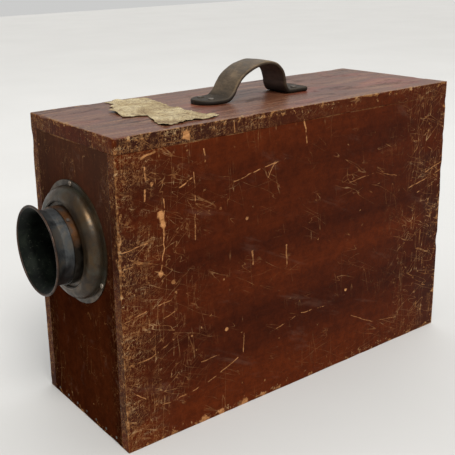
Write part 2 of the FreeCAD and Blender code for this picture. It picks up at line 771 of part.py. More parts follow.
def handle_screws():
    """Four screws that hold the tabs down."""
    screws = []
    for index, (x, y) in enumerate(handle_screw_places()):
        screws.append(screw((x, y, CASE_H + STRAP_T), (0, 0, -1), STRAP_SCREW_L, STRAP_HEAD_R, 35.0 * index))
    return solid_group(screws)


def paper_label():
    """Torn paper label, two lobes wide, pasted across the lid near the lens end."""
    points = [FreeCAD.Vector(x, y, CASE_H) for x, y in LABEL_OUTLINE]
    face = Part.Face(Part.makePolygon(points + points[:1]))
    return face.extrude(FreeCAD.Vector(0, 0, LABEL_T))


def lid_hook_stud():
    head_y = HALF_L + CATCH_GAP + CATCH_T + STUD_CLEAR
    shank = rod(PIVOT_R, (0, HALF_L - STUD_L, STUD_Z), (0, head_y, STUD_Z))
    return shank.fuse(rod(STUD_HEAD_R, (0, head_y, STUD_Z), (0, head_y + STUD_HEAD_T, STUD_Z)))


# ---------------------------------------------------------------- rear catches

def lid_hook():
    """Flat hook, stored lying towards +X; turned up, its mouth takes the lid's stud."""
    y0 = HALF_L + CATCH_GAP
    y1 = y0 + CATCH_T
    reach = STUD_Z - CATCH_Z
    tail_x = reach + HOOK_HUB_R
    hub = rod(HOOK_HUB_R, (0, y0, CATCH_Z), (0, y1, CATCH_Z))
    arm = box(0, tail_x, y0, y1, CATCH_Z - HOOK_HALF_W, CATCH_Z + HOOK_HALF_W)
    tail = rod(HOOK_HALF_W, (tail_x, y0, CATCH_Z), (tail_x, y1, CATCH_Z))
    hook = hub.fuse(arm).fuse(tail)
    gate = PIVOT_R + HOOK_PLAY
    near_y = y0 - PAST
    far_y = y1 + PAST
    ring = tube(reach + gate, reach - gate, (0, near_y, CATCH_Z), (0, far_y, CATCH_Z))
    leading = box(0, reach * 2, near_y, far_y, CATCH_Z, CATCH_Z + reach * 2)
    seat = rod(gate, (reach, near_y, CATCH_Z), (reach, far_y, CATCH_Z))
    hook = hook.cut(ring.common(leading)).cut(seat)
    return hook.cut(rod(PIVOT_R + PIN_PLAY, (0, near_y, CATCH_Z), (0, far_y, CATCH_Z)))


def door_button():
    """Turn button, stored level below the door."""
    y0 = HALF_L + CATCH_GAP
    y1 = y0 + BUTTON_T
    x0 = BUTTON_X - BUTTON_HALF_L + BUTTON_HALF_W
    x1 = BUTTON_X + BUTTON_HALF_L - BUTTON_HALF_W
    button = box(x0, x1, y0, y1, BUTTON_Z - BUTTON_HALF_W, BUTTON_Z + BUTTON_HALF_W)
    for x in (x0, x1):
        button = button.fuse(rod(BUTTON_HALF_W, (x, y0, BUTTON_Z), (x, y1, BUTTON_Z)))
    pivot = rod(PIVOT_R + PIN_PLAY, (BUTTON_X, y0 - PAST, BUTTON_Z), (BUTTON_X, y1 + PAST, BUTTON_Z))
    return button.removeSplitter().cut(pivot)


def catch_screws():
    """Pivot screws of the lid hook and of the door button."""
    screws = []
    for x, z, thickness in ((0, CATCH_Z, CATCH_T), (BUTTON_X, BUTTON_Z, BUTTON_T)):
        head_y = HALF_L + CATCH_GAP + thickness + PIVOT_HEAD_GAP
        top_y = head_y + PIVOT_HEAD_T
        half_l = PIVOT_HEAD_R + PAST
        shank = rod(PIVOT_R, (x, HALF_L - PIVOT_L, z), (x, head_y, z))
        head = rod(PIVOT_HEAD_R, (x, head_y, z), (x, top_y, z))
        slot = box(x - half_l, x + half_l, top_y - PIVOT_SLOT_D, top_y + PAST,
                   z - PIVOT_SLOT_HALF_W, z + PIVOT_SLOT_HALF_W)
        screws.append(shank.fuse(head).cut(slot))
    return solid_group(screws)


# ---------------------------------------------------------------- rear door

def back_door():
    board = box(DOOR_X0, DOOR_X1, IN_Y, HALF_L, DOOR_Z0, DOOR_Z1)
    knob_foot = rod(KNOB_FOOT_R, (KNOB_X, HALF_L - KNOB_FOOT_L, AXIS_Z), (KNOB_X, HALF_L + PAST, AXIS_Z))
    return board.cut(knob_foot)


def door_knob():
    """Small turned knob with a dowel foot."""
    def at(radius, out):
        return FreeCAD.Vector(KNOB_X, HALF_L + out, AXIS_Z + radius)

    foot = at(0, -KNOB_FOOT_L)
    foot_edge = at(KNOB_FOOT_R, -KNOB_FOOT_L)
    edges = straight([foot, foot_edge, at(KNOB_FOOT_R, 0), at(KNOB_BASE_R, 0), at(*KNOB_NECK)])
    edges.append(curve(at(*KNOB_NECK), at(*KNOB_BELLY), at(*KNOB_SHOULDER)))
    edges.append(curve(at(*KNOB_SHOULDER), at(*KNOB_BROW), at(*KNOB_TOP)))
    edges += straight([at(*KNOB_TOP), at(0, KNOB_TOP[1]), foot])
    face = Part.Face(Part.Wire(edges))
    return face.revolve(FreeCAD.Vector(KNOB_X, 0, AXIS_Z), Y_AXIS, 360)


# ---------------------------------------------------------------- focusing screen and plate holder

def plate_window(y0, y1):
    """Block that cuts a plate-sized window, less its reveal, through a frame."""
    half_w = PLATE_W / 2 - REVEAL
    return box(-half_w, half_w, y0 - PAST, y1 + PAST, PLATE_LOW + REVEAL, PLATE_HIGH - REVEAL)


def ground_glass_frame():
    """Frame with a window, rebated from the rear for the glass."""
    y0 = SCREEN_Y
    y1 = SCREEN_Y + SCREEN_T
    rebate = PLATE_W / 2 + SCREEN_PLAY
    frame = box(-SCREEN_HALF_W, SCREEN_HALF_W, y0, y1, HOLDER_Z0, HOLDER_Z1 - SCREEN_PLAY)
    seat = box(-rebate, rebate, y0 + SCREEN_REBATE, y1 + PAST,
               PLATE_LOW - SCREEN_PLAY, PLATE_HIGH + SCREEN_PLAY)
    return frame.cut(plate_window(y0, y1)).cut(seat)


def ground_glass():
    y0 = SCREEN_Y + SCREEN_REBATE
    return box(-PLATE_W / 2, PLATE_W / 2, y0, y0 + GLASS_T, PLATE_LOW, PLATE_HIGH)


def ground_glass_springs():
    """Two bowed strips that press the screen forward."""
    springs = []
    low = HOLDER_Z0 + SPRING_INSET
    high = HOLDER_Z1 - SPRING_INSET
    rear = SCREEN_Y + SCREEN_T
    for side in (-1, 1):
        inner = PLATE_W / 2 + SPRING_SIDE_IN
        outer = SCREEN_HALF_W - SPRING_SIDE_OUT
        x0, x1 = sorted((side * inner, side * outer))
        back = [
            FreeCAD.Vector(x0, rear + SPRING_BOW, low),
            FreeCAD.Vector(x0, rear + SPRING_T, (low + high) / 2),
            FreeCAD.Vector(x0, rear + SPRING_BOW, high),
        ]
        front = [point - FreeCAD.Vector(0, SPRING_T, 0) for point in back]
        edges = [
            curve(*back),
            Part.makeLine(back[2], front[2]),
            curve(*reversed(front)),
            Part.makeLine(front[0], back[0]),
        ]
        springs.append(Part.Face(Part.Wire(edges)).extrude(FreeCAD.Vector(x1 - x0, 0, 0)))
    return solid_group(springs)


def holder_rail(lower):
    """Grooved strip that guides the plate holder's edge; stops short of the light path."""
    y0 = HOLDER_Y - HOLDER_HALF_T - RAIL_T
    y1 = HOLDER_Y + HOLDER_HALF_T
    lip_y = HOLDER_Y - HOLDER_HALF_T - SLOT_PLAY
    if lower:
        top = HOLDER_Z0 - RAIL_GAP
        rail = box(-IN_X, IN_X, y0, y1 + RAIL_T, RAIL_LOW, top)
        lip = box(-IN_X, IN_X, y0, lip_y, top, HOLDER_Z0 + RAIL_LIP_H)
    else:
        base = HOLDER_Z1 + RAIL_GAP
        rail = box(-IN_X, IN_X, y0, y1 + RAIL_REAR, base, BAFFLE_TOP)
        lip = box(-IN_X, IN_X, y0, lip_y, HOLDER_Z1 - RAIL_LIP_H, base)
    return rail.fuse(lip).removeSplitter()


def slide_layers():
    """Low and high y of the front and rear grooves for the dark slides."""
    depth = SLIDE_T + 2 * SLIDE_PLAY
    front = HOLDER_Y - HOLDER_HALF_T + HOLDER_LIP
    rear = HOLDER_Y + HOLDER_HALF_T - HOLDER_LIP - depth
    return [(front, front + depth), (rear, rear + depth)]


def plate_holder_frame():
    y0 = HOLDER_Y - HOLDER_HALF_T
    y1 = HOLDER_Y + HOLDER_HALF_T
    frame = box(HOLDER_X0, HOLDER_X1, y0, y1, HOLDER_Z0, HOLDER_Z1)
    layers = slide_layers()
    chamber = box(-PLATE_W / 2, PLATE_W / 2, layers[0][1], layers[1][0], PLATE_LOW, PLATE_HIGH)
    frame = frame.cut(plate_window(y0, y1)).cut(chamber)
    side = SLIDE_SIDE + SLIDE_PLAY
    for low, high in layers:
        groove = box(HOLDER_X0 - PAST, SLIDE_END + 2 * SLIDE_PLAY, low, high,
                     PLATE_LOW - side, PLATE_HIGH + side)
        frame = frame.cut(groove)
    return frame


def dark_slide(index):
    """Thin sheet with a finger lip outside the holder's end."""
    low, high = slide_layers()[index]
    y0 = low + SLIDE_PLAY
    y1 = high - SLIDE_PLAY
    end_x = HOLDER_X0 - SLIDE_PULL
    sheet = box(end_x, SLIDE_END, y0, y1, PLATE_LOW - SLIDE_SIDE, PLATE_HIGH + SLIDE_SIDE)
    grip = box(end_x, end_x + GRIP_T, y0 - GRIP_PROUD, y1 + GRIP_PROUD,
               AXIS_Z - GRIP_H / 2, AXIS_Z + GRIP_H / 2)
    return sheet.fuse(grip).removeSplitter()


def holder_septum():
    half = SEPTUM_T / 2
    return box(-PLATE_W / 2, PLATE_W / 2, HOLDER_Y - half, HOLDER_Y + half, PLATE_LOW, PLATE_HIGH)


def glass_plates():
    """Two half-plate negatives, one each side of the septum."""
    plates = []
    half_w = PLATE_W / 2 - GLASS_PLAY
    near = SEPTUM_T / 2 + SEPTUM_GAP
    for side in (-1, 1):
        y0, y1 = sorted((HOLDER_Y + side * near, HOLDER_Y + side * (near + GLASS_T)))
        plates.append(box(-half_w, half_w, y0, y1, PLATE_LOW + GLASS_PLAY, PLATE_HIGH - GLASS_PLAY))
    return solid_group(plates)


# ---------------------------------------------------------------- all nodes

def all_parts():
    lid_hinges = hinge_set(LID_HINGE_MIDDLES, on_lid_axis)
    door_hinges = hinge_set(DOOR_HINGE_MIDDLES, on_door_axis)
    front_crown, front_flint = glass_pair(FRONT_CELL_Y, -1)
    rear_crown, rear_flint = glass_pair(REAR_CELL_Y, 1)
    return {
        "bottom_board": bottom_board(),
        "side_panel_right": side_panel(1),
        "side_panel_left": side_panel_left(),
        "front_panel": front_panel(),
        "back_lower_panel": box(-IN_X, IN_X, IN_Y, HALF_L, 0, DOOR_Z0 - DOOR_GAP),
        "back_top_rail": box(-IN_X, IN_X, IN_Y, HALF_L, DOOR_Z1 + DOOR_GAP, BODY_H),
        "baffle_front": baffle(FRONT_BAFFLE_Y, FRONT_OPENING),
        "baffle_rear": baffle(REAR_BAFFLE_Y, REAR_OPENING),
        "front_brads": front_brads(),
        "tripod_bush": tripod_bush(),
        "lens_flange": lens_flange(),
        "flange_screws": flange_screws(),
        "lens_sleeve": lens_sleeve(),
        "collar_screw": collar_screw(),
        "sleeve_nut": sleeve_nut(),
        "shutter_bushes": shutter_bushes(),
        "lid_hinge_case_leaves": lid_hinges["case_leaves"],
        "lid_hinge_lid_leaves": lid_hinges["moving_leaves"],
        "lid_hinge_pins": lid_hinges["pins"],
        "lid_hinge_case_screws": lid_hinges["case_screws"],
        "lid_hinge_lid_screws": lid_hinges["moving_screws"],
        "door_hinge_case_leaves": door_hinges["case_leaves"],
        "door_hinge_door_leaves": door_hinges["moving_leaves"],
        "door_hinge_pins": door_hinges["pins"],
        "door_hinge_case_screws": door_hinges["case_screws"],
        "door_hinge_door_screws": door_hinges["moving_screws"],
        "holder_rail_lower": holder_rail(True),
        "holder_rail_upper": holder_rail(False),
        "ground_glass_frame": ground_glass_frame(),
        "ground_glass": ground_glass(),
        "ground_glass_springs": ground_glass_springs(),
        "catch_screws": catch_screws(),
        "lid_board": lid_board(),
        "lid_light_trap": lid_light_trap(),
        "handle_strap": handle_strap(),
        "handle_screws": handle_screws(),
        "paper_label": paper_label(),
        "lid_hook_stud": lid_hook_stud(),
        "lens_hood": lens_hood(),
        "hood_rim": hood_rim(),
        "front_cell": lens_cell(FRONT_CELL_Y),
        "front_crown": front_crown,
        "front_flint": front_flint,
        "rear_cell": lens_cell(REAR_CELL_Y),
        "rear_crown": rear_crown,
        "rear_flint": rear_flint,
        "retaining_rings": retaining_rings(),
        "waterhouse_stop": waterhouse_stop(),
        "shutter_shaft": shutter_shaft(),
        "shutter_flap": shutter_flap(),
        "shutter_lever": shutter_lever(),
        "back_door": back_door(),
        "door_knob": door_knob(),
        "lid_hook": lid_hook(),
        "door_button": door_button(),
        "plate_holder_frame": plate_holder_frame(),
        "holder_septum": holder_septum(),
        "glass_plates": glass_plates(),
        "dark_slide_front": dark_slide(0),
        "dark_slide_rear": dark_slide(1),
    }


os.makedirs("parts", exist_ok=True)
for node, shape in all_parts().items():
    if not shape.isValid():
        print("invalid shape:", node)
    shape.exportStep("parts/" + node + ".step")
    bounds = shape.BoundBox
    print(f"{node}: {len(shape.Solids)} solids, {shape.Volume:.0f} mm3,"
          f" x {bounds.XMin:.1f}..{bounds.XMax:.1f}, y {bounds.YMin:.1f}..{bounds.YMax:.1f},"
          f" z {bounds.ZMin:.1f}..{bounds.ZMax:.1f}")
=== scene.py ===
import math
import random

import bpy
from mathutils import Matrix, Vector, geometry, noise


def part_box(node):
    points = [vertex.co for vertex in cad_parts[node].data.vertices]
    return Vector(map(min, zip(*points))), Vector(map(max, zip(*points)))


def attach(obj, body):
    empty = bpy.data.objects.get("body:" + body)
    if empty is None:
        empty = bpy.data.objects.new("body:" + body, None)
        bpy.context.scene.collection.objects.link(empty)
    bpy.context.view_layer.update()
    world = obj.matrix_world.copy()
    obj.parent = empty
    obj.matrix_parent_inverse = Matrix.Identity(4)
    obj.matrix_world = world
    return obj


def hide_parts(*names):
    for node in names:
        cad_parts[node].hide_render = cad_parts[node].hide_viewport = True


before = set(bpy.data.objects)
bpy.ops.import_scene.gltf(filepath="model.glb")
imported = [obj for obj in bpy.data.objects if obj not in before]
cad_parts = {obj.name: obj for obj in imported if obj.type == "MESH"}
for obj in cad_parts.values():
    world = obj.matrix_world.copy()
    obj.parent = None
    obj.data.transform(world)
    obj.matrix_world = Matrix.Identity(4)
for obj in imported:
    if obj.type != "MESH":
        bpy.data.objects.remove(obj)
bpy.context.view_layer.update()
MM = 0.001


def at(node):
    """Lowest and highest corners of a CAD node."""
    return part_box(node)


HALF_W, HALF_L, _ = at("side_panel_right")[1]
JOINT_Z, TOP_Z = [corner.z for corner in at("lid_board")]
AXIS_Z = sum(corner.z for corner in at("hood_rim")) / 2

# -- camera and light

CAMERA_AZIMUTH = math.radians(54.9)
CAMERA_DROP = math.radians(15.82)
CAMERA_ROLL = math.radians(-1.58)
CAMERA_PLACE = Vector((0.6333, -0.5399, 0.4411))
CAMERA_LENS = 62.4
CAMERA_SHIFT = (0.0991, -0.0987)
SENSOR_WIDTH = 36
NEAREST_SEEN = 0.01
WINDOW_FROM = (1.0, -0.3, 1.35)
WINDOW_SPREAD = 28
WINDOW_POWER = 2.3
WINDOW_TINT = (1.0, 0.98, 0.95)
TOP_LIGHT_PLACE = (-0.5, 0.7, 2.2)
TOP_LIGHT_TARGET = (0, 0, 0.15)
TOP_LIGHT_SIZE = (2.2, 2.2)
TOP_LIGHT_POWER = 16
TOP_LIGHT_TINT = (0.96, 0.98, 1.0)
SKY_COLOUR = (0.8, 0.8, 0.79, 1)
SKY_STRENGTH = 0.75
FLOOR_REACH = 6.0
FLOOR_TONES = [(0.3, (0.61, 0.605, 0.59)), (0.7, (0.64, 0.635, 0.62))]


def new_object(name, data):
    made = bpy.data.objects.new(name, data)
    bpy.context.scene.collection.objects.link(made)
    return made


def new_mesh(name, points, faces):
    mesh = bpy.data.meshes.new(name)
    mesh.from_pydata(points, [], faces)
    return mesh


def make_camera():
    data = bpy.data.cameras.new("camera")
    data.lens = CAMERA_LENS
    data.sensor_width = SENSOR_WIDTH
    data.shift_x, data.shift_y = CAMERA_SHIFT
    data.clip_start = NEAREST_SEEN
    camera = new_object("camera", data)
    level = math.cos(CAMERA_DROP)
    sideways, ahead = -math.sin(CAMERA_AZIMUTH) * level, math.cos(CAMERA_AZIMUTH) * level
    forward = Vector((sideways, ahead, -math.sin(CAMERA_DROP)))
    turn = forward.to_track_quat("-Z", "Y").to_matrix().to_4x4()
    roll = Matrix.Rotation(CAMERA_ROLL, 4, "Z")
    camera.matrix_world = Matrix.Translation(CAMERA_PLACE) @ turn @ roll
    bpy.context.scene.camera = camera


def make_light(name, kind, power, tint, facing):
    data = bpy.data.lights.new(name, kind)
    data.energy, data.color = power, tint
    light = new_object(name, data)
    light.rotation_euler = Vector(facing).to_track_quat("-Z", "Y").to_euler()
    return light


def make_studio():
    window = make_light("window", "SUN", WINDOW_POWER, WINDOW_TINT, -Vector(WINDOW_FROM))
    window.data.angle = math.radians(WINDOW_SPREAD)
    downward = Vector(TOP_LIGHT_TARGET) - Vector(TOP_LIGHT_PLACE)
    top = make_light("top", "AREA", TOP_LIGHT_POWER, TOP_LIGHT_TINT, downward)
    top.location = TOP_LIGHT_PLACE
    top.data.shape = "RECTANGLE"
    top.data.size, top.data.size_y = TOP_LIGHT_SIZE
    world = bpy.data.worlds.new("world")
    world.use_nodes = True
    back = world.node_tree.nodes["Background"]
    back.inputs["Color"].default_value = SKY_COLOUR
    back.inputs["Strength"].default_value = SKY_STRENGTH
    bpy.context.scene.world = world
    bpy.context.scene.view_settings.view_transform = "Standard"


def make_floor():
    around = ((-1, -1), (1, -1), (1, 1), (-1, 1))
    corners = [(x * FLOOR_REACH, y * FLOOR_REACH, 0) for x, y in around]
    floor = new_object("floor", new_mesh("floor", corners, [(0, 1, 2, 3)]))
    look = Look("floor_paint")
    tone = look.ramp(look.noise(3, 4), FLOOR_TONES)
    look.finish(tone, 0.7, look.noise(90, 3), 0.05)
    floor.data.materials.append(look.material)


# -- material building

SHAKE = 3 * MM


class Look:
    """One procedural material, built from short calls that each return a socket. Scales are in features
    per metre and offsets only choose another part of the same noise."""

    def __init__(self, name):
        self.material = bpy.data.materials.new(name)
        self.material.use_nodes = True
        self.tree = self.material.node_tree
        self.tree.nodes.clear()
        self.place = self.node("ShaderNodeTexCoord").outputs["Object"]
        self.x, self.y, self.z = self.node("ShaderNodeSeparateXYZ", [self.place]).outputs

    def node(self, kind, inputs=(), **settings):
        made = self.tree.nodes.new(kind)
        for key, value in settings.items():
            setattr(made, key, value)
        pairs = inputs.items() if isinstance(inputs, dict) else enumerate(inputs)
        for key, value in pairs:
            self.feed(made.inputs[key], value)
        return made

    def feed(self, socket, value):
        if isinstance(value, bpy.types.NodeSocket):
            self.tree.links.new(value, socket)
        elif value is not None:
            if socket.type == "RGBA" and len(value) == 3:
                value = (*value, 1)
            socket.default_value = value

    def math(self, operation, a, b=None, c=None):
        return self.node("ShaderNodeMath", [a, b, c], operation=operation).outputs[0]

    def vector(self, operation, *inputs):
        made = self.node("ShaderNodeVectorMath", inputs, operation=operation)
        single = operation in ("DOT_PRODUCT", "DISTANCE")
        return made.outputs["Value" if single else "Vector"]

    def chain(self, operation, terms):
        """Join the terms by an operation. A tuple stands for the product of its members."""
        terms = [self.product(term) for term in terms]
        total = terms[0]
        for term in terms[1:]:
            total = self.math(operation, total, term)
        return total

    def product(self, term):
        return self.times(*term) if isinstance(term, tuple) else term

    def add(self, *terms):
        return self.chain("ADD", terms)

    def times(self, *terms):
        return self.chain("MULTIPLY", terms)

    def most(self, *terms):
        return self.chain("MAXIMUM", terms)

    def less(self, value, other):
        return self.math("SUBTRACT", value, other)

    def apart(self, value, other):
        """How far two values are apart."""
        return self.math("ABSOLUTE", self.less(value, other))

    def flip(self, value):
        return self.less(1.0, value)

    def scaled(self, scale, offset=(0, 0, 0), turn=0):
        """The place times a scale, first turned by some degrees in the plane of the long sides.
        One number is the same scale on all axes."""
        if not isinstance(scale, tuple):
            scale = (scale, scale, scale)
        place = self.place
        if turn:
            inputs = {"Vector": place, "Angle": math.radians(turn)}
            place = self.node("ShaderNodeVectorRotate", inputs, rotation_type="X_AXIS").outputs[0]
        return self.vector("MULTIPLY_ADD", place, scale, offset)

    def noise(self, scale, detail=4, roughness=0.55, distortion=0.0, offset=(0, 0, 0), turn=0):
        inputs = {"Vector": self.scaled(scale, offset, turn), "Scale": 1.0, "Detail": detail,
                  "Roughness": roughness, "Distortion": distortion}
        return self.node("ShaderNodeTexNoise", inputs).outputs["Fac"]

    def lines(self, scale, turn, width, offset=(0, 0, 0)):
        """Thin long scratches, where a drawn-out noise crosses its middle value."""
        field = self.noise(scale, 2, 0.55, 0.15, offset, turn)
        return self.step(self.apart(field, 0.5), width, width * 0.35)

    def cells(self, scale, offset=(0, 0, 0)):
        """Distance to the nearest scattered point, and a random value of that point."""
        made = self.node("ShaderNodeTexVoronoi", {"Vector": self.scaled(scale, offset), "Scale": 1.0})
        value = self.node("ShaderNodeSeparateColor", [made.outputs["Color"]]).outputs[0]
        return made.outputs["Distance"], value

    def step(self, value, low, high):
        """0 at low, 1 at high, eased; low may be above high."""
        made = self.node("ShaderNodeMapRange", {"Value": value}, interpolation_type="SMOOTHSTEP")
        if low > high:
            low, high = high, low
            made.inputs["To Min"].default_value = 1
            made.inputs["To Max"].default_value = 0
        made.inputs["From Min"].default_value = low
        made.inputs["From Max"].default_value = high
        return made.outputs["Result"]

    def ramp(self, value, stops):
        made = self.node("ShaderNodeValToRGB", [value])
        while len(made.color_ramp.elements) < len(stops):
            made.color_ramp.elements.new(0.5)
        for element, (position, colour) in zip(made.color_ramp.elements, stops):
            element.position = position
            element.color = (*colour, 1)
        return made.outputs["Color"]

    def blend(self, share, first, second, kind="MIX"):
        share = self.product(share)
        made = self.node("ShaderNodeMix", data_type="RGBA", blend_type=kind)
        self.feed(made.inputs["Factor"], share)
        self.feed(made.inputs[6], first)
        self.feed(made.inputs[7], second)
        return made.outputs[2]

    def stroke_gap(self, start, end):
        """Distance to the straight stroke between two points, shaken a little."""
        start, end = Vector(start), Vector(end)
        along = end - start
        offset = self.vector("SUBTRACT", self.wavy(), tuple(start))
        dot = self.vector("DOT_PRODUCT", offset, tuple(along))
        shorter = [dot, 1 / along.length_squared]
        share = self.node("ShaderNodeMath", shorter, operation="MULTIPLY", use_clamp=True).outputs[0]
        nearest = {0: tuple(along), "Scale": share}
        reach = self.node("ShaderNodeVectorMath", nearest, operation="SCALE").outputs[0]
        return self.vector("DISTANCE", offset, reach)

    def wavy(self):
        """The place, shaken a little so that strokes aren't ruled lines."""
        if not hasattr(self, "shaken"):
            amounts = []
            for offset in ((0, 0, 0), (5, 5, 5), (9, 9, 9)):
                amount = self.noise(45, 3, offset=offset)
                amounts.append(self.math("MULTIPLY_ADD", amount, 2 * SHAKE, -SHAKE))
            shake = self.node("ShaderNodeCombineXYZ", amounts).outputs[0]
            self.shaken = self.vector("ADD", self.place, shake)
        return self.shaken

    def finish(self, colour, roughness, height=None, depth=0.1, metal=0.0, **extra):
        """Close the material. Height runs from 0 to 1 and depth is in millimetres."""
        shader = self.node("ShaderNodeBsdfPrincipled")
        self.feed(shader.inputs["Base Color"], colour)
        self.feed(shader.inputs["Roughness"], roughness)
        self.feed(shader.inputs["Metallic"], metal)
        for key, value in extra.items():
            self.feed(shader.inputs[key.replace("_", " ")], value)
        if height is not None:
            bump = self.node("ShaderNodeBump", {"Height": height, "Distance": depth * MM, "Strength": 1.0})
            self.feed(shader.inputs["Normal"], bump.outputs["Normal"])
        self.node("ShaderNodeOutputMaterial", {"Surface": shader.outputs["BSDF"]})
        return self.material


def stretch(axis, along, across):
    """Noise scale that is low along the grain's axis and high across it."""
    scale = [across, across, across]
    scale["XYZ".index(axis)] = along
    return tuple(scale)


def shade(colour, factor):
    return tuple(part * factor for part in colour)


# -- worn paint on wood

BARE_PALE = (0.42, 0.265, 0.13)
BARE_ORANGE = (0.29, 0.125, 0.042)
BARE_BROWN = (0.11, 0.052, 0.022)
BARE_FRESH = (0.56, 0.265, 0.105)
SOOT = (0.016, 0.008, 0.006)
# Scuff colour, also used for the painted pale veil of light near the top.
SCUFF_AND_VEIL = (0.2, 0.115, 0.08)
GREY_GRAIN = [(0.3, (0.5, 0.5, 0.5)), (0.7, (1, 1, 1))]
CRAZING = [(0.4, (0.45, 0.42, 0.42)), (0.6, (1, 1, 1))]
LID_BARE = (0.25, 0.14, 0.065)


def arris_distance(look):
    """Distances to the case's nearest outer edge, and to the nearest upright one."""
    side = look.less(HALF_W, look.math("ABSOLUTE", look.x))
    end = look.less(HALF_L, look.math("ABSOLUTE", look.y))
    level = look.math("MINIMUM", look.z, look.less(TOP_Z, look.z))
    low = look.math("MINIMUM", side, end)
    high = look.most(side, end)
    return look.most(low, look.math("MINIMUM", high, level)), high


def paint_body(look, grain, dark, warm):
    """Old paint before wear: warm bands along the grain, blotches and a faint grain."""
    band = look.noise(stretch(grain, 1.2, 19.0), 2, 0.5, 0.4)
    mottle = look.noise(12, 5, 0.65, 0.5)
    fine = look.noise(stretch(grain, 10.0, 300.0), 4, 0.6)
    tone = look.add((band, 0.74), (mottle, 0.26))
    middle = tuple((a + b) / 2 for a, b in zip(dark, warm))
    colour = look.ramp(tone, [(0.36, dark), (0.5, middle), (0.66, warm)])
    colour = look.blend(0.35, colour, look.ramp(fine, GREY_GRAIN), "MULTIPLY")
    crazed = look.noise(110, 6, 0.85, 0.3, (6, 1, 2))
    colour = look.blend(0.6, colour, look.ramp(crazed, CRAZING), "MULTIPLY")
    return colour, mottle, fine


def wear_noises(look):
    """Noises that all kinds of wear share: fine grit, ragged chips and a slow swell."""
    return look.noise(430, 3, 0.7), look.noise(75, 5, 0.72), look.noise(15, 3, 0.55, 0.4)


def rubbed_edges(look, edge, across, chips, swell, amount):
    """Bare wood along the arrises: a thin line everywhere, wider where the swell noise is high and,
    on the upright ones, toward the top."""
    high = look.add(0.4 * MM, (look.step(look.z, 110 * MM, 240 * MM), 1.2 * MM))
    upright = look.times(look.step(across, 10 * MM, 7 * MM), look.step(swell, 0.36, 0.56), high)
    width = look.add(0.7 * MM, upright, (look.step(swell, 0.52, 0.74), 2.8 * MM * amount))
    width = look.times(width, look.add(0.35, (look.step(chips, 0.36, 0.66), 1.3)))
    rubbed = look.step(look.math("DIVIDE", edge, width), 1.0, 0.7)
    zone = look.step(edge, 18 * MM, 1 * MM)
    small = look.noise(150, 5, 0.75, offset=(4, 2, 8))
    limit = look.add(0.7, (zone, -0.14))
    spots = look.times(look.step(look.less(small, limit), 0.0, 0.02), look.step(zone, 0.0, 0.1))
    rubbed = look.times(rubbed, look.math("MULTIPLY_ADD", look.step(small, 0.43, 0.56), 0.7, 0.3))
    return look.most(rubbed, (spots, 0.9 * min(1.0, amount)))


def lid_joint_line(look, chips, swell):
    """Thin bare line where the lid meets the walls, much fainter on the rim that the lid covers."""
    gap = look.apart(look.z, JOINT_Z)
    width = look.times(look.add(0.25, (look.step(swell, 0.42, 0.66), 0.6)), MM)
    line = look.step(look.math("DIVIDE", gap, width), 1.0, 0.6)
    normal = look.node("ShaderNodeNewGeometry").outputs["Normal"]
    facing = look.node("ShaderNodeSeparateXYZ", [normal]).outputs["Z"]
    upright = look.math("MULTIPLY_ADD", look.step(facing, 0.7, 0.4), 0.75, 0.25)
    return look.times(line, look.step(chips, 0.4, 0.54), 0.75, upright)


def hatching(look, across, lid_edge, reach, amount):
    """Scratches near the case's upright edges: a dense mesh at the edge, and longer ones further in."""
    patches = look.noise((24, 24, 20), 5, 0.7, offset=(3, 1, 7))
    mesh = look.most(
        look.lines((330, 330, 90), 14, 0.02, (5, 5, 5)),
        look.lines((330, 110, 330), -24, 0.022, (2, 8, 4)),
        look.step(look.noise(420, 3, 0.75, offset=(1, 6, 2)), 0.61, 0.67),
    )
    near = look.times(look.step(across, reach * 0.75, 3 * MM), look.step(look.y, 80 * MM, -120 * MM))
    near = look.times(look.most(near, lid_edge), look.step(patches, 0.38, 0.54), 0.9)
    long = look.most(
        look.lines((120, 120, 14), 5, 0.008, (3, 3, 8)),
        look.lines((85, 13, 85), 24, 0.007, (7, 2, 2)),
        look.lines((70, 16, 70), -38, 0.006, (1, 9, 4)),
    )
    far = look.times(look.step(across, reach * 1.5, reach * 0.4), look.step(patches, 0.4, 0.52))
    return look.times(look.most((mesh, near), (long, far, 0.85)), amount)


def flecks_and_hairs(look, grain, grit):
    """A few small knocks, and long hair scratches, anywhere on the face."""
    far, chance = look.cells(62)
    uneven = look.add(far, (look.less(grit, 0.5), 0.5))
    flecks = look.times(look.step(uneven, 0.06, 0.02), look.step(chance, 0.92, 0.95))
    field = look.noise(stretch(grain, 8, 46), 2, 0.45, 1.4, offset=(9, 2, 3))
    hair = look.step(look.apart(field, 0.5), 0.003, 0.001)
    rising = look.lines((52, 6, 52), 28, 0.004, (4, 7, 7))
    upright = look.lines((46, 46, 5), -6, 0.0036, (8, 1, 3))
    hair = look.most(hair, rising, upright)
    hair = look.times(hair, look.step(look.noise(24, 3, 0.6, offset=(6, 6, 1)), 0.49, 0.6))
    return look.most((flecks, 0.85), (hair, 0.38))


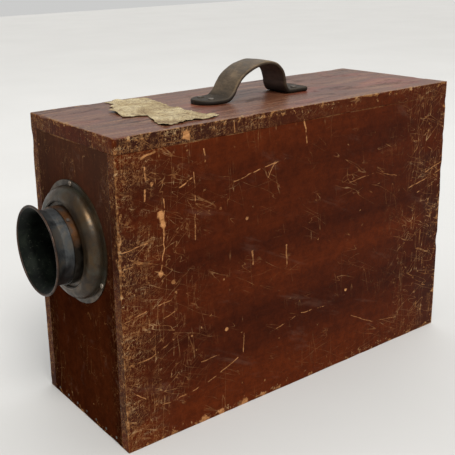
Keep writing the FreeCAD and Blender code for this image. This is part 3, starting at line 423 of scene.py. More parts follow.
# Scratches on the right side: width in mm, strength, and the points they join.
RIGHT_MARKS = (
    (1.2, 0.8, (4, 63), (25, 45)), (1.3, 0.7, (25, 39), (50, 36), (79, 39), (93, 42), (131, 56)),
    (1.2, 0.7, (86, 66), (112, 65)), (1.2, 0.65, (178, 70), (216, 80), (258, 77)),
    (1.2, 0.75, (3, 132), (68, 144)), (1.2, 0.7, (44, 124), (70, 132)),
    (1.4, 0.8, (3, 198), (17, 200), (30, 201)), (1.2, 0.7, (6, 182), (24, 185)),
    (1.5, 0.6, (4, 88), (30, 90), (54, 100)), (6.5, 1.0, (44, 226), (47, 215)),
    (1.6, 0.9, (48, 238), (46, 191), (43, 169)), (2.6, 0.9, (29, 270), (30, 259)),
    (2.2, 0.9, (29, 250), (28, 240)), (2.6, 0.9, (27, 279), (40, 282)), (1.8, 0.9, (66, 246), (80, 252)),
    (1.5, 0.8, (94, 277), (95, 267)), (1.2, 0.7, (82, 257), (83, 230)), (1.2, 0.65, (82, 216), (81, 192)),
    (1.3, 0.75, (128, 239), (148, 244), (193, 251)), (1.2, 0.75, (171, 235), (185, 261)),
    (2.0, 0.85, (129, 296), (130, 287)), (2.2, 0.9, (217, 286), (222, 262)),
    (2.4, 0.6, (151, 165), (151, 152)), (2.2, 0.6, (195, 160), (197, 139)),
    (1.3, 0.7, (139, 80), (138, 60)), (1.5, 0.85, (382, 185), (441, 198)),
    (1.5, 0.85, (385, 193), (439, 207)), (1.3, 0.8, (397, 176), (440, 186)),
    (1.2, 0.45, (286, 210), (326, 213), (363, 203)), (1.2, 0.5, (293, 53), (330, 35), (370, 30)),
)
# Larger bare spots: along, up, radius in mm and strength.
RIGHT_PATCHES = (
    (75, 292, 5.5, 1.0), (37, 254, 2.4, 0.9), (117, 91, 2.2, 1.0), (75, 97, 1.8, 0.8), (115, 145, 1.6, 0.7),
    (284, 87, 2.2, 1.0), (43, 169, 3.2, 0.8), (56, 158, 2.6, 0.6), (98, 216, 2.0, 0.6), (112, 216, 1.6, 0.5),
    (144, 199, 2.2, 0.6), (89, 3, 6.0, 0.9), (110, 2, 5.0, 0.9), (140, 3, 7.0, 0.9), (165, 2, 4.0, 0.8),
)


def on_right(along, up):
    """A point of the right side, from millimetres back from the front and up from the floor."""
    return (HALF_W, -HALF_L + along * MM, up * MM)


def placed_marks(look, grit):
    """The right side's own scratches and bare spots, with ragged sides."""
    sides = look.noise(170, 4, 0.7, offset=(3, 9, 4))
    ragged = look.most(0.5, look.add(-0.6, grit, (sides, 2.4)))
    total = 0.0
    for width, strength, *points in RIGHT_MARKS:
        places = [on_right(*point) for point in points]
        for start, end in zip(places, places[1:]):
            gap = look.times(look.stroke_gap(start, end), ragged)
            mark = look.step(gap, width * MM * 0.55, width * MM * 0.25)
            total = look.most(total, (mark, strength))
    for along, up, radius, strength in RIGHT_PATCHES:
        gap = look.vector("DISTANCE", look.wavy(), on_right(along, up))
        patch = look.step(look.times(gap, ragged), radius * MM, radius * MM * 0.6)
        total = look.most(total, (patch, strength))
    breaks = look.step(look.noise(210, 4, 0.75, offset=(2, 2, 2)), 0.4, 0.53)
    return look.times(total, look.math("MULTIPLY_ADD", breaks, 0.5, 0.5))


def soot_scuffs_and_painted_light(look, colour, across, swell, hatch, light_veil):
    """Soot toward the upright edges and along the lid's edge, faint scuffs, and a pale veil of painted light
    near the top.
    Returns the colour, and where the lid's edge is."""
    sooty = look.times(look.step(across, hatch[0], 6 * MM), look.step(swell, 0.42, 0.6), hatch[1] * 0.85)
    lid_edge = look.times(look.step(look.z, JOINT_Z, JOINT_Z + MM), look.step(look.y, 140 * MM, -160 * MM))
    lid_edge = look.times(lid_edge, look.step(look.y, MM - HALF_L, 5 * MM - HALF_L))
    colour = look.blend((look.most(sooty, lid_edge), 0.7), colour, SOOT)
    scuffs = look.step(look.noise((60, 12, 60), 5, 0.7, 0.4, (3, 8, 1), 24), 0.56, 0.72)
    # Painted light: a pale veil toward the top of the face.
    painted_veil = look.times(look.step(look.z, 150 * MM, 290 * MM), look.add(0.5, scuffs), light_veil)
    colour = look.blend(look.most((scuffs, 0.12), painted_veil), colour, SCUFF_AND_VEIL)
    return colour, lid_edge


def painted_wood(name, grain, dark, warm, edge_wear, hatch, gloss, light_veil=0.0, marked=False):
    """Old paint over plain wood, rubbed at the edges. Hatch is the edge scratches' reach and strength,
    the light veil is how strong the painted pale light near the top is, and marked adds the right side's own
    marks."""
    look = Look(name)
    colour, mottle, fine = paint_body(look, grain, dark, warm)
    grit, chips, swell = wear_noises(look)
    edge, across = arris_distance(look)
    colour, lid_edge = soot_scuffs_and_painted_light(look, colour, across, swell, hatch, light_veil)
    wear = look.most(
        rubbed_edges(look, edge, across, chips, swell, edge_wear),
        lid_joint_line(look, chips, swell),
        hatching(look, across, lid_edge, *hatch),
        flecks_and_hairs(look, grain, grit),
    )
    tone = look.add((look.noise(stretch(grain, 40, 240), 4, 0.65), 0.65), (grit, 0.35))
    bare = look.ramp(tone, [(0.38, BARE_BROWN), (0.5, BARE_ORANGE), (0.62, BARE_PALE)])
    colour = look.blend(wear, colour, bare)
    if marked:
        fresh = look.ramp(tone, [(0.38, BARE_ORANGE), (0.6, BARE_FRESH)])
        colour = look.blend(placed_marks(look, grit), colour, fresh)
    roughness = look.add(0.34, (mottle, 0.2), (wear, 0.3))
    height = look.add(look.times(fine, 0.25), (look.flip(wear), 0.5), (mottle, 0.6))
    return look.finish(colour, roughness, height, 0.2, Specular_IOR_Level=gloss)


def lid_paint(name):
    """The lid's top: redder, polished by hands, with pale streaks along it, partly dust and partly painted
    sheen, and pale rubbed edges.
    """
    look = Look(name)
    colour, mottle, fine = paint_body(look, "Y", LID_DARK, LID_WARM)
    grit, chips, swell = wear_noises(look)
    edge, across = arris_distance(look)
    red = look.step(look.noise((19, 9, 19), 4, 0.6, offset=(8, 3, 5)), 0.5, 0.66)
    colour = look.blend((red, 0.55), colour, LID_RED)
    # Pale streaks along the grain: partly dust, partly painted sheen.
    streaks = look.noise((150, 9, 150), 6, 0.75, 0.3, (1, 2, 3))
    dust_and_sheen = look.step(look.add((streaks, 0.7), (grit, 0.3)), 0.46, 0.62)
    colour = look.blend((dust_and_sheen, 0.5), colour, LID_DUST_AND_SHEEN)
    stains = look.step(look.noise((42, 16, 42), 6, 0.72, 0.6, (4, 4, 9)), 0.54, 0.66)
    colour = look.blend((stains, 0.55), colour, SOOT)
    lines = look.times(look.step(look.noise((900, 16, 900), 2, 0.6, 0.5, (7, 1, 1)), 0.63, 0.7), 0.6)
    rubbed = rubbed_edges(look, edge, across, chips, swell, 1.5)
    wear = look.most(rubbed, flecks_and_hairs(look, "Y", grit), lines)
    tone = look.add((look.noise((240, 40, 240), 4, 0.65), 0.5), (grit, 0.5))
    bare = look.ramp(tone, [(0.38, BARE_BROWN), (0.5, LID_BARE), (0.62, BARE_PALE)])
    colour = look.blend(wear, colour, bare)
    roughness = look.add(0.24, (streaks, 0.22), (stains, 0.15), (wear, 0.3))
    height = look.add((fine, 0.3), (streaks, 0.35), (mottle, 0.8))
    return look.finish(colour, roughness, height, 0.2, Specular_IOR_Level=0.27)


BLACK_STAIN = [(0.35, (0.01, 0.009, 0.009)), (0.7, (0.04, 0.036, 0.033))]
MAHOGANY = [(0.35, (0.075, 0.022, 0.008)), (0.55, (0.16, 0.055, 0.02)), (0.72, (0.26, 0.1, 0.04))]
WOOD_DIRT = (0.035, 0.014, 0.007)


def blackened_wood(name, grain):
    look = Look(name)
    fine = look.noise(stretch(grain, 12, 500), 5, 0.6)
    mottle = look.noise(22, 5, 0.6)
    colour = look.ramp(look.add((fine, 0.6), (mottle, 0.4)), BLACK_STAIN)
    return look.finish(colour, look.add(0.62, (mottle, 0.3)), fine, 0.12)


def polished_wood(name, grain):
    look = Look(name)
    figure = look.noise(stretch(grain, 6, 70), 5, 0.6, 1.5)
    fine = look.noise(stretch(grain, 18, 900), 4, 0.6)
    colour = look.ramp(look.add((figure, 0.7), (fine, 0.3)), MAHOGANY)
    dirt = look.step(look.noise(40, 5, 0.7), 0.5, 0.7)
    colour = look.blend((dirt, 0.5), colour, WOOD_DIRT)
    return look.finish(colour, look.add(0.3, (dirt, 0.3)), fine, 0.08)


# -- metals, leather, paper, glass

# Dark colour of pits, also used for painted shade below a given height.
PITS_AND_SHADE = (0.02, 0.015, 0.01)
HOOD_OUTSIDE = [(0.34, (0.016, 0.018, 0.02)), (0.52, (0.08, 0.086, 0.088)), (0.7, (0.14, 0.115, 0.086))]
HOOD_INSIDE_SHADE = [(0.36, (0.0012, 0.0014, 0.0012)), (0.55, (0.004, 0.006, 0.004)), (0.72, (0.014, 0.018, 0.012))]
HOOD_SHADE = (0.016, 0.012, 0.011)
HOOD_SPECKS = (0.075, 0.078, 0.058)
WORN_LACQUER = (0.12, 0.09, 0.06)


def old_metal(name, base, tarnish, bloom, rough, shine=0.9, shaded_below=None):
    """Tarnished metal: cloudy oxide, optional coloured bloom, fine scratches and pits.
    Below the given height it is darkened as painted shade."""
    look = Look(name)
    cloud = look.noise(70, 6, 0.65, 0.4)
    fine = look.noise(420, 5, 0.7)
    brushed = look.noise((900, 160, 900), 3, 0.6)
    oxide = look.step(cloud, 0.36, 0.66)
    colour = look.blend(oxide, base, tarnish)
    colour = look.blend((look.step(fine, 0.55, 0.75), 0.6), colour, PITS_AND_SHADE)
    if shaded_below:
        # Painted shade: darker below the given height, with a ragged border.
        below = look.add(look.z, (look.less(cloud, 0.5), 30 * MM))
        colour = look.blend(look.step(below, shaded_below + 4 * MM, shaded_below - 12 * MM), colour, PITS_AND_SHADE)
    metal = look.add(shine, (oxide, -0.35 * shine))
    if bloom:
        verdigris = look.step(look.noise(38, 6, 0.7, 0.6, (7, 3, 1)), 0.47, 0.66)
        colour = look.blend((verdigris, 0.75), colour, bloom)
        metal = look.times(metal, look.flip(look.times(verdigris, 0.7)))
    roughness = look.add(rough, (oxide, 0.22), (fine, 0.14))
    height = look.add((cloud, 0.5), (fine, 0.5), (brushed, 0.12))
    return look.finish(colour, roughness, height, 0.1, metal)


def hood_metal(name):
    """Near-black patina with a blue bloom outside, darker on its lower part as painted shade, and
    green-mottled metal inside, darkened as painted shade.
    """
    look = Look(name)
    cloud = look.noise(55, 6, 0.65, 0.5)
    fine = look.noise(420, 5, 0.7)
    outside = look.ramp(cloud, HOOD_OUTSIDE)
    # The inside's colours: green-mottled patina, darkened as painted shade.
    inside = look.ramp(cloud, HOOD_INSIDE_SHADE)
    above_axis = look.less(look.z, AXIS_Z)
    radial = look.node("ShaderNodeCombineXYZ", [look.x, 0.0, above_axis]).outputs[0]
    radial = look.vector("NORMALIZE", radial)
    normal = look.node("ShaderNodeNewGeometry").outputs["Normal"]
    outward = look.vector("DOT_PRODUCT", normal, radial)
    within = look.step(outward, 0.05, -0.1)
    shadowed = look.step(look.add(look.z, (cloud, 20 * MM)), AXIS_Z + 22 * MM, AXIS_Z - 16 * MM)
    outside = look.blend((shadowed, 0.8), outside, HOOD_SHADE)
    colour = look.blend(within, outside, inside)
    specks = look.step(fine, 0.58, 0.7)
    colour = look.blend((specks, 0.6), colour, HOOD_SPECKS)
    roughness = look.add(0.26, (cloud, 0.2), (within, 0.22))
    metal = look.math("MULTIPLY_ADD", within, -0.6, 0.65)
    gloss = look.math("MULTIPLY_ADD", within, -0.3, 0.4)
    height = look.add(cloud, (fine, 0.8))
    return look.finish(colour, roughness, height, 0.2, metal, Specular_IOR_Level=gloss)


def black_metal(name, tone):
    look = Look(name)
    cloud = look.noise(60, 5, 0.6)
    fine = look.noise(700, 4, 0.6)
    worn = look.step(look.noise(120, 6, 0.75), 0.62, 0.72)
    colour = look.ramp(cloud, [(0.3, (tone * 0.6,) * 3), (0.7, (tone * 1.7, tone * 1.6, tone * 1.5))])
    colour = look.blend((worn, 0.5), colour, WORN_LACQUER)
    return look.finish(colour, look.add(0.45, (fine, 0.25)), look.add(cloud, fine), 0.06, 0.1)


def tab_share(look):
    """1 on the strap's flat ends, which hands and dirt have blackened, and 0 on its arch."""
    return look.step(look.z, TOP_Z + 13 * MM, TOP_Z + 4 * MM)


def old_leather(name, tone):
    """Strap leather's face: pebbled and olive brown, blacker where it lies flat under hands."""
    look = Look(name)
    far, _ = look.cells(1100)
    folds = look.noise((90, 420, 420), 4, 0.6, 0.8)
    cloud = look.noise(60, 6, 0.68)
    stops = [(0.34, shade(tone, 0.35)), (0.5, tone), (0.66, shade(tone, 1.8))]
    colour = look.ramp(look.add((cloud, 0.75), (folds, 0.25)), stops)
    tab = tab_share(look)
    colour = look.blend((tab, 0.88), colour, shade(tone, 0.2))
    rub = look.step(look.noise(190, 5, 0.7), 0.56, 0.72)
    colour = look.blend((rub, 0.4), colour, shade(tone, 2.4))
    height = look.add((far, 0.6), (folds, 0.8), (cloud, 0.6))
    gloss = look.math("MULTIPLY_ADD", tab, -0.18, 0.28)
    roughness = look.add(0.36, (cloud, 0.3))
    return look.finish(colour, roughness, height, 0.22, Specular_IOR_Level=gloss)


def plain_leather(name, tone, scale):
    """Cut edge or flesh side of the strap."""
    look = Look(name)
    fibre = look.noise((90 * scale, 90 * scale, 500 * scale), 5, 0.7)
    cloud = look.noise(60, 5, 0.65)
    mixed = look.add((fibre, 0.5), (cloud, 0.5))
    colour = look.ramp(mixed, [(0.34, shade(tone, 0.4)), (0.5, tone), (0.68, shade(tone, 1.7))])
    colour = look.blend((tab_share(look), 0.9), colour, shade(tone, 0.2))
    return look.finish(colour, 0.6, mixed, 0.18, Specular_IOR_Level=0.25)


PAPER_TONES = [(0.38, (0.18, 0.115, 0.052)), (0.48, (0.37, 0.28, 0.14)), (0.6, (0.56, 0.47, 0.285))]
PAPER_CREASE_SHADE = (0.105, 0.062, 0.032)
PAPER_HOLES = (0.1, 0.048, 0.03)


def old_paper(name):
    """Torn, stained paper with creases and folds darkened as painted shade, and a few worn-through specks."""
    look = Look(name)
    fibre = look.noise(700, 4, 0.7)
    stain = look.noise(42, 6, 0.75, 0.8)
    tone = look.add((stain, 0.7), (fibre, 0.3))
    colour = look.ramp(tone, PAPER_TONES)
    crease = look.noise(130, 4, 0.7, 1.4)
    # Painted shade: dark lines along the creases and folds.
    crease_shade = look.step(look.apart(crease, 0.5), 0.03, 0.006)
    folds = [look.lines((60, 24, 60), 0, 0.01), look.lines((24, 75, 24), 0, 0.009, (3, 3, 3))]
    crease_shade = look.most(crease_shade, *folds)
    colour = look.blend((crease_shade, 0.6), colour, PAPER_CREASE_SHADE)
    worn = look.step(look.noise(210, 5, 0.85, offset=(5, 1, 2)), 0.55, 0.61)
    worn = look.most(look.times(worn, 0.65), (look.step(fibre, 0.56, 0.66), 0.55))
    colour = look.blend(worn, colour, PAPER_HOLES)
    height = look.add(stain, (crease, 1.0), (fibre, 0.4))
    return look.finish(colour, 0.85, height, 0.8)


def clear_glass(name, tint, rough):
    look = Look(name)
    smear = look.noise(45, 5, 0.6)
    grain = look.noise(1800, 2, 0.6)
    roughness = look.add(rough, (look.step(smear, 0.5, 0.75), 0.1))
    colour = look.blend((look.step(smear, 0.5, 0.8), 0.25), tint, shade(tint, 0.75))
    height = look.add(grain, smear)
    return look.finish(colour, roughness, height, 0.01 + 0.04 * rough, Transmission_Weight=1.0, IOR=1.5)


# -- mesh helpers

def make_piece(name, points, faces, body, nodes, materials, indices=None, crease=None):
    """A mesh piece that stands for CAD nodes. Indices choose each face's material, and edges bent by
    more than the crease, in degrees, are sharp."""
    mesh = new_mesh(name, points, faces)
    for material in materials:
        mesh.materials.append(material)
    for index, face in enumerate(mesh.polygons):
        face.use_smooth = True
        if indices:
            face.material_index = indices[index]
    if crease:
        mesh.set_sharp_from_angle(angle=math.radians(crease))
    piece = new_object(name, mesh)
    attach(piece, body)
    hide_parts(*nodes)
    return piece


def eased_share(value, low, high):
    share = min(1.0, max(0.0, (value - low) / (high - low)))
    return share * share * (3 - 2 * share)


# -- worn boards

NEAR_EDGE = (0.0, 0.3, 0.7, 1.2, 1.9, 2.8, 4.2)
BOARD_STEP = 3.5
HULL_ROUND = 1.3
LOOSE_ROUND = 0.6
GLUED_ROUND = 0.22
CHIP_DEPTH = 2.4
WARP = 0.11
OUTER_SKIN = 5
BOARD_CREASE = 40
HOLDER_PLAY = 0.2
SHAFT_HOLE_R = 5
LENS_HOLE_R = 38
HULL = ((-HALF_W, HALF_W), (-HALF_L, HALF_L), (0.0, TOP_Z))


def lattice_cuts(low, high):
    """Positions along one side of a board, closer together near both ends."""
    first = low + NEAR_EDGE[-1] * MM
    last = high - NEAR_EDGE[-1] * MM
    count = max(1, round((last - first) / (BOARD_STEP * MM)))
    middle = [first + (last - first) * index / count for index in range(1, count)]
    start = [low + gap * MM for gap in NEAR_EDGE]
    end = [high - gap * MM for gap in reversed(NEAR_EDGE)]
    return start + middle + end


def board_edges(low, high, loose):
    """A board's twelve edges: two (axis, plane) pairs and how round it is worn.
    Loose names the faces that meet nothing glued, as (axis, 0 for low or 1 for high)."""
    ends = (low, high)
    edges = []
    for a, b in ((0, 1), (0, 2), (1, 2)):
        for side_a, side_b in ((0, 0), (0, 1), (1, 0), (1, 1)):
            plane_a, plane_b = ends[side_a][a], ends[side_b][b]
            outer_a = abs(plane_a - HULL[a][side_a]) < 0.1 * MM
            outer_b = abs(plane_b - HULL[b][side_b]) < 0.1 * MM
            rounding = GLUED_ROUND
            if outer_a and outer_b:
                rounding = HULL_ROUND
            elif (a, side_a) in loose or (b, side_b) in loose:
                rounding = LOOSE_ROUND
            edges.append((a, plane_a, b, plane_b, rounding))
    return edges


def edge_rounding(point, edges):
    """How round the wood is worn at a point, in metres: mostly the nearest edge's own value."""
    total = weights = 0.0
    for a, plane_a, b, plane_b, rounding in edges:
        gap = math.hypot(point[a] - plane_a, point[b] - plane_b)
        weight = 1 / (gap + 0.2 * MM) ** 3
        total += weight * rounding
        weights += weight
    base = total / weights
    uneven = 0.75 + 0.5 * noise.noise(point * 55)
    chip = eased_share(noise.noise(point * 42 + Vector((9, 4, 1))), 0.28, 0.62) * CHIP_DEPTH
    return (base * uneven + chip * (base / HULL_ROUND) ** 2) * MM


def worn_point(point, low, high, edges):
    reach = NEAR_EDGE[-1] * MM
    near = sum(min(point[axis] - low[axis], high[axis] - point[axis]) < reach for axis in range(3))
    moved = point.copy()
    if near > 1:
        rounding = edge_rounding(point, edges)
        inner = Vector()
        for axis in range(3):
            inner[axis] = min(max(point[axis], low[axis] + rounding), high[axis] - rounding)
        moved = inner + (point - inner).normalized() * rounding
    warp = WARP * MM * (1 + noise.noise(Vector((point.x * 16, point.y * 5, point.z * 16))))
    for axis in range(3):
        if point[axis] == low[axis]:
            moved[axis] += warp
        elif point[axis] == high[axis]:
            moved[axis] -= warp
    return moved


def lattice_box(cuts):
    """Points and quads of a box's surface, divided at the given cuts."""
    index_of, points, faces = {}, [], []

    def vertex(key):
        if key not in index_of:
            index_of[key] = len(points)
            points.append(Vector([cuts[axis][key[axis]] for axis in range(3)]))
        return index_of[key]

    for axis in range(3):
        u, v = (axis + 1) % 3, (axis + 2) % 3
        for end in (0, len(cuts[axis]) - 1):
            for i in range(len(cuts[u]) - 1):
                for j in range(len(cuts[v]) - 1):
                    corners = []
                    for di, dj in ((0, 0), (1, 0), (1, 1), (0, 1)):
                        key = [0, 0, 0]
                        key[axis], key[u], key[v] = end, i + di, j + dj
                        corners.append(vertex(tuple(key)))
                    faces.append(corners if end else corners[::-1])
    return points, faces


def cutter_box(low, high):
    points, faces = lattice_box(list(zip(low, high)))
    return new_mesh("cutter", points, faces)


def cutter_rod(radius, start, end, sides=96):
    start, end = Vector(start), Vector(end)
    turn = (end - start).to_track_quat("Z", "Y").to_matrix()
    rings = []
    for place in (start, end):
        for index in range(sides):
            angle = math.tau * index / sides
            rings.append(place + turn @ Vector((math.cos(angle), math.sin(angle), 0)) * radius)
    faces = [[i, (i + 1) % sides, sides + (i + 1) % sides, sides + i] for i in range(sides)]
    faces += [list(range(sides))[::-1], list(range(sides, 2 * sides))]
    return new_mesh("cutter", rings, faces)


def cut_hole(piece, cutter_mesh):
    cutter = new_object("cutter", cutter_mesh)
    modifier = piece.modifiers.new("hole", "BOOLEAN")
    modifier.operation = "DIFFERENCE"
    modifier.solver = "EXACT"
    modifier.object = cutter
    ready = piece.evaluated_get(bpy.context.evaluated_depsgraph_get())
    shaped = bpy.data.meshes.new_from_object(ready)
    piece.modifiers.clear()
    piece.data = shaped
    bpy.data.objects.remove(cutter)


def is_exposed(centre, normal):
    """Whether a face is on the case's outside, or on the rim that the lid closes on."""
    depth = OUTER_SKIN * MM
    for axis, (low, high) in enumerate(HULL):
        if normal[axis] > 0.35 and high - centre[axis] < depth:
            return True
        if normal[axis] < -0.35 and centre[axis] - low < depth:
            return True
    return normal.z > 0.7 and abs(centre.z - JOINT_Z) < MM


def worn_board(name, node, body, materials, loose=(), holes=()):
    """A board with rubbed edges. Two materials are for its outer and inner faces; of three, the first is
    for the top only."""
    low, high = at(node)
    cuts = [lattice_cuts(low[axis], high[axis]) for axis in range(3)]
    points, faces = lattice_box(cuts)
    low = Vector([cut[0] for cut in cuts])
    high = Vector([cut[-1] for cut in cuts])
    edges = board_edges(low, high, loose)
    points = [worn_point(point, low, high, edges) for point in points]
    piece = make_piece(name, points, faces, body, [node], materials)
    for hole in holes:
        cut_hole(piece, hole)
    for face in piece.data.polygons:
        face.use_smooth = True
        inside = not is_exposed(face.center, face.normal)
        face.material_index = len(materials) - 1 if inside else 0
        if len(materials) == 3 and not inside and face.normal.z < 0.5:
            face.material_index = 1
    piece.data.set_sharp_from_angle(angle=math.radians(BOARD_CREASE))
    return piece


LOW_X, HIGH_X, LOW_Z, HIGH_Z = (0, 0), (0, 1), (2, 0), (2, 1)


def holder_slot_cutter():
    """The slot that the plate holder slides through."""
    low, high = at("plate_holder_frame")
    play = Vector((0, HOLDER_PLAY, HOLDER_PLAY)) * MM
    low, high = low - play, high + play
    left_low, left_high = at("side_panel_left")
    low.x = left_low.x - 5 * MM
    high.x = left_high.x + 5 * MM
    return cutter_box(low, high)


def shaft_hole_cutter():
    low, high = at("shutter_bushes")
    y, z = (low.y + high.y) / 2, (low.z + high.z) / 2
    left_low, left_high = at("side_panel_left")
    return cutter_rod(SHAFT_HOLE_R * MM, (left_low.x - MM, y, z), (left_high.x + MM, y, z), 40)


def lens_hole_cutter():
    low, high = at("front_panel")
    return cutter_rod(LENS_HOLE_R * MM, (0, low.y - MM, AXIS_Z), (0, high.y + MM, AXIS_Z))


def bush_hole_cutter():
    low, high = at("tripod_bush")
    x, y = (low.x + high.x) / 2, (low.y + high.y) / 2
    return cutter_rod(high.x - x, (x, y, low.z - MM), (x, y, high.z + MM), 48)


def make_boards(long_side, front, rear, lid_top, inside):
    worn_board("worn_side_right", "side_panel_right", "case", [long_side, inside], [HIGH_Z])
    worn_board("worn_side_left", "side_panel_left", "case", [long_side, inside], [HIGH_Z],
               [holder_slot_cutter(), shaft_hole_cutter()])
    worn_board("worn_front", "front_panel", "case", [front, inside], [HIGH_Z], [lens_hole_cutter()])
    worn_board("worn_lid", "lid_board", "lid", [lid_top, long_side, inside], [LOW_Z])
    worn_board("worn_rear_low", "back_lower_panel", "case", [rear, inside], [HIGH_Z])
    worn_board("worn_rear_rail", "back_top_rail", "case", [rear, inside], [LOW_Z, HIGH_Z])
    worn_board("worn_door", "back_door", "door", [front, inside], [LOW_X, HIGH_X, LOW_Z, HIGH_Z])
    worn_board("worn_bottom", "bottom_board", "case", [rear, inside], [], [bush_hole_cutter()])


# -- strap handle

STRAP_LINE = (
    (-78, 2.4), (-64, 2.4), (-51, 2.4), (-45.6, 3.6), (-40, 8.6), (-35.8, 15.4), (-28.8, 23.8),
    (-18, 30.6), (-4.5, 35), (8.6, 35.6), (19.2, 32.2), (26.4, 25.4), (29.8, 16), (31.4, 8.4),
    (34.8, 3.2), (40.5, 2.4), (51, 2.4), (63, 2.4),
)
STRAP_HALF_W = 18.0
STRAP_HALF_T = 2.4
STRAP_EDGE = 1.9
STRAP_THINNING = 0.18
STRAP_FLATS = 12
STRAP_CREASE = 50
STRAP_CORNER = 2.5


def strap_centres():
    """Middle line of the strap, closely spaced and smooth."""
    knots = [Vector((0, y, z)) for y, z in STRAP_LINE]
    knots = [2 * knots[0] - knots[1], *knots, 2 * knots[-1] - knots[-2]]
    centres = []
    for before, first, last, after in zip(knots, knots[1:], knots[2:], knots[3:]):
        reach = (last - first).length / 3
        leave = first + (last - before).normalized() * reach
        arrive = last - (after - first).normalized() * reach
        centres += geometry.interpolate_bezier(first, leave, arrive, last, 13)[:-1]
    centres.append(knots[-2])
    return centres


def strap_section(half_w):
    """Outline of the strap, as (across, up, kind). Kinds choose the material: 0 is the face,
    1 a rubbed edge, 2 the underside and 3 a cut edge."""
    edge = min(STRAP_EDGE, half_w * 0.9)
    flat = half_w - edge
    outline = []
    for side, flat_kind, turn_kinds in ((1, 0, (1, 1, 3, 3, 3, 3)), (-1, 2, (3, 3, 3, 3, 1, 1))):
        for index in range(STRAP_FLATS):
            across = side * flat * (1 - 2 * index / STRAP_FLATS)
            outline.append((across, side * STRAP_HALF_T, flat_kind))
        for index, kind in enumerate(turn_kinds):
            angle = math.pi * index / len(turn_kinds)
            across = -side * (flat + edge * math.sin(angle))
            outline.append((across, side * STRAP_HALF_T * math.cos(angle), kind))
    return outline


def strap_half_width(from_front, from_rear):
    """Half the strap's width: rounded at its front end, with soft corners at its rear end."""
    rounded = STRAP_HALF_W
    if from_front < STRAP_HALF_W:
        rounded = math.sqrt(max(0.6, STRAP_HALF_W ** 2 - (STRAP_HALF_W - from_front) ** 2))
    corner = STRAP_CORNER
    if from_rear < corner:
        rounded = min(rounded, STRAP_HALF_W - corner + math.sqrt(corner ** 2 - (corner - from_rear) ** 2))
    return rounded


def strap_ring(centre, along, half_w):
    """Points of the strap's outline around one point of its middle line, in metres."""
    upward = Vector((0, -along.z, along.y))
    lifted = eased_share(centre.z, 4, 12)
    drift = lifted * 0.7 * noise.noise(centre * 0.03)
    thin = 1 - STRAP_THINNING * lifted
    ring = []
    for across, up, _ in strap_section(half_w):
        up *= thin
        spot = Vector((across * 0.1, centre.y * 0.12, centre.z * 0.12 + up))
        dent = lifted * 0.35 * noise.noise(spot)
        cup = -0.5 * lifted * (across / STRAP_HALF_W) ** 2
        local = centre + upward * (up + dent + cup)
        ring.append((Vector((across + drift, local.y, local.z)) + Vector((0, 0, TOP_Z / MM))) * MM)
    return ring


def make_strap(outer, rubbed, inner, cut_edge):
    centres = strap_centres()
    front, rear = centres[0].y, centres[-1].y
    points, faces, kinds = [], [], []
    for index, centre in enumerate(centres):
        after = centres[min(index + 1, len(centres) - 1)]
        before = centres[max(index - 1, 0)]
        half_w = strap_half_width(centre.y - front, rear - centre.y)
        points += strap_ring(centre, (after - before).normalized(), half_w)
    section = strap_section(STRAP_HALF_W)
    ring = len(section)
    for row in range(len(centres) - 1):
        this, following = row * ring, (row + 1) * ring
        for column, (_, _, kind) in enumerate(section):
            step = (column + 1) % ring
            faces.append((this + column, this + step, following + step, following + column))
            kinds.append(kind)
    last = (len(centres) - 1) * ring
    faces += [tuple(range(ring))[::-1], tuple(range(last, last + ring))]
    kinds += [1, 1]
    make_piece("leather_strap", points, faces, "lid", ["handle_strap"],
               [outer, rubbed, inner, cut_edge], kinds, STRAP_CREASE)


# -- torn label

LABEL_OUTLINE = (
    (-73, -139), (-72, -126), (-72, -105), (-63, -92), (-46, -96), (-27, -98),
    (-10, -103), (5, -101), (19, -103), (44, -101), (62, -94), (68, -107),
    (66, -119), (64, -132), (67, -145), (69, -159), (58, -160), (35, -152),
    (18, -146), (14, -157), (8, -167), (-13, -161), (-26, -163), (-31, -150),
    (-50, -147), (-56, -138),
)
LABEL_STEP = 1.4
LABEL_GRID = 1.5
LABEL_TEAR = 1.6
LABEL_CURL = 1.7
LABEL_REST = 0.12
LABEL_THICKNESS = 0.15
LABEL_SCATTER = 0.5
LABEL_SEED = 7


def torn_outline():
    """The label's outline in millimetres with a ragged, torn edge."""
    ragged = []
    for start, end in zip(LABEL_OUTLINE, LABEL_OUTLINE[1:] + LABEL_OUTLINE[:1]):
        start, end = Vector(start), Vector(end)
        count = round((end - start).length / LABEL_STEP)
        across = (end - start).orthogonal().normalized()
        for index in range(count):
            point = start.lerp(end, index / count)
            tear = noise.fractal(Vector((*point, 0)) * 0.16, 0.6, 2.2, 4)
            ragged.append(point + across * LABEL_TEAR * tear)
    return ragged


def label_height(point, gap):
    """Height of the paper above the lid. Gap is the distance from the torn edge."""
    spot = Vector((point.x, point.y, 0))
    across = 0.58 * point.y - 0.81 * point.x
    ripple = 0.42 * (1 + noise.noise(Vector((point.x * 0.05, point.y * 0.05, across * 0.34))))
    crumple = 0.34 * abs(noise.noise(spot * 0.22 + Vector((7, 7, 7))))
    ripple += crumple + 0.2 * (1 + noise.noise(spot * 0.4))
    lifted = eased_share(noise.noise(spot * 0.06 + Vector((2, 5, 0))), -0.05, 0.45)
    curl = LABEL_CURL * lifted * (1 - eased_share(gap, 0.0, 7.0))
    return LABEL_REST + ripple + curl


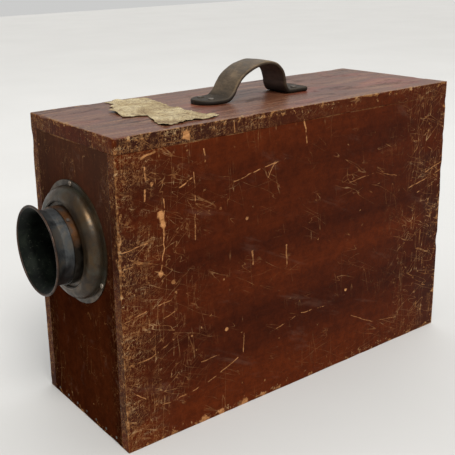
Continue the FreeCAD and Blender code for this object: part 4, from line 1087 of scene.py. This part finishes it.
def make_label(paper):
    outline = torn_outline()
    random.seed(LABEL_SEED)
    count = len(outline)
    low_x, high_x = min(p.x for p in outline), max(p.x for p in outline)
    low_y, high_y = min(p.y for p in outline), max(p.y for p in outline)
    inner = []
    y = low_y
    while y < high_y:
        x = low_x
        while x < high_x:
            aside, ahead = [random.uniform(-LABEL_SCATTER, LABEL_SCATTER) for _ in range(2)]
            inner.append(Vector((x + aside, y + ahead)))
            x += LABEL_GRID
        y += LABEL_GRID
    ring = [(index, (index + 1) % count) for index in range(count)]
    flat, _, faces, _, _, _ = geometry.delaunay_2d_cdt(outline + inner, ring, [], 1, 1e-5)
    points = []
    for point in flat:
        gap = min((point - edge).length for edge in outline)
        points.append(Vector((point.x, point.y, TOP_Z / MM + label_height(point, gap))) * MM)
    piece = make_piece("torn_label", points, faces, "lid", ["paper_label"], [paper])
    thickness = piece.modifiers.new("thickness", "SOLIDIFY")
    thickness.thickness = LABEL_THICKNESS * MM
    thickness.offset = -1


# -- finishes

PAINT_DARK = (0.047, 0.0079, 0.002)
PAINT_WARM = (0.103, 0.0175, 0.0033)
# Painted shade: the front, door and rear paint is a darker copy of the side paint.
SHADED_PAINT_DARK = (0.028, 0.0056, 0.0018)
SHADED_PAINT_WARM = (0.066, 0.014, 0.004)
LID_DARK = (0.07, 0.018, 0.007)
LID_WARM = (0.15, 0.043, 0.018)
LID_RED = (0.2, 0.03, 0.016)
LID_DUST_AND_SHEEN = (0.33, 0.182, 0.102)

# Tarnished metals by slot: name, metal, oxide, bloom, roughness, shine, height below which shade is painted.
METALS = {
    "flange_brass": ("flange_patina", (0.072, 0.045, 0.023), (0.025, 0.016, 0.009), (0.019, 0.019, 0.01),
                     0.24),
    "rim_brass": ("rim_patina", (0.085, 0.052, 0.036), (0.012, 0.009, 0.008), None, 0.26),
    # The collar's lower part is darkened as painted shade.
    "collar_copper": ("collar_patina", (0.17, 0.07, 0.024), (0.04, 0.022, 0.013), (0.016, 0.022, 0.018),
                      0.28, 0.9, AXIS_Z + 16 * MM),
    "hinge_brass": ("hinge_patina", (0.27, 0.175, 0.07), (0.07, 0.045, 0.022), None, 0.3),
    "iron_fastener": ("rusty_iron", (0.15, 0.125, 0.1), (0.05, 0.032, 0.022), None, 0.36, 0.8),
    "spring_steel": ("spring_metal", (0.4, 0.39, 0.37), (0.2, 0.18, 0.15), None, 0.3),
}
BRIGHT_IRON = (0.42, 0.37, 0.3)
BRIGHT_RUST = (0.15, 0.11, 0.08)
STRAP_FACE = (0.084, 0.058, 0.034)
STRAP_RUBBED = (0.115, 0.078, 0.042)
STRAP_FLESH = (0.062, 0.036, 0.027)
STRAP_CUT = (0.045, 0.028, 0.016)


def make_finishes():
    """New materials by slot, for every CAD node that stays."""
    tarnished = {slot: old_metal(*metal) for slot, metal in METALS.items()}
    return {
        **tarnished,
        "painted_wood": polished_wood("knob_wood", "Y"),
        "blackened_wood": blackened_wood("black_stain", "Z"),
        "holder_wood": polished_wood("holder_mahogany", "Z"),
        "tube_brass": hood_metal("hood_patina"),
        "black_metal": black_metal("black_lacquer", 0.018),
        "slide_metal": black_metal("slide_lacquer", 0.03),
        "strap_leather": old_leather("strap_face", STRAP_FACE),
        "label_paper": old_paper("old_paper"),
        "optical_glass": clear_glass("lens_glass", (0.93, 0.96, 0.95), 0.02),
        "plate_glass": clear_glass("plate_glass", (0.8, 0.9, 0.85), 0.02),
        "screen_glass": clear_glass("ground_glass", (0.85, 0.9, 0.88), 0.45),
    }


def finish_nodes(finishes):
    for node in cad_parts.values():
        slot = node.data.materials[0].name
        if slot in finishes:
            node.data.materials[0] = finishes[slot]
    rubbed = old_metal("rubbed_iron", BRIGHT_IRON, BRIGHT_RUST, None, 0.3)
    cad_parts["flange_screws"].data.materials[0] = rubbed


make_camera()
make_studio()
make_floor()
finishes = make_finishes()
long_side = painted_wood("long_side_paint", "Y", PAINT_DARK, PAINT_WARM, 1.0, (0.075, 0.76), 0.03,
                         marked=True)
# Painted shade: the front, door and rear use the darker copy of the side paint.
front = painted_wood("front_paint_shaded", "Z", SHADED_PAINT_DARK, SHADED_PAINT_WARM, 0.7, (0.022, 0.45), 0.0, light_veil=0.3)
rear = painted_wood("rear_paint_shaded", "X", SHADED_PAINT_DARK, SHADED_PAINT_WARM, 0.9, (0.03, 0.6), 0.04)
lid_top = lid_paint("lid_top_paint")
make_boards(long_side, front, rear, lid_top, finishes["blackened_wood"])
make_strap(finishes["strap_leather"], plain_leather("strap_rubbed_edge", STRAP_RUBBED, 1.0),
           plain_leather("strap_flesh", STRAP_FLESH, 0.7), plain_leather("strap_cut_edge", STRAP_CUT, 1.0))
make_label(finishes["label_paper"])
finish_nodes(finishes)
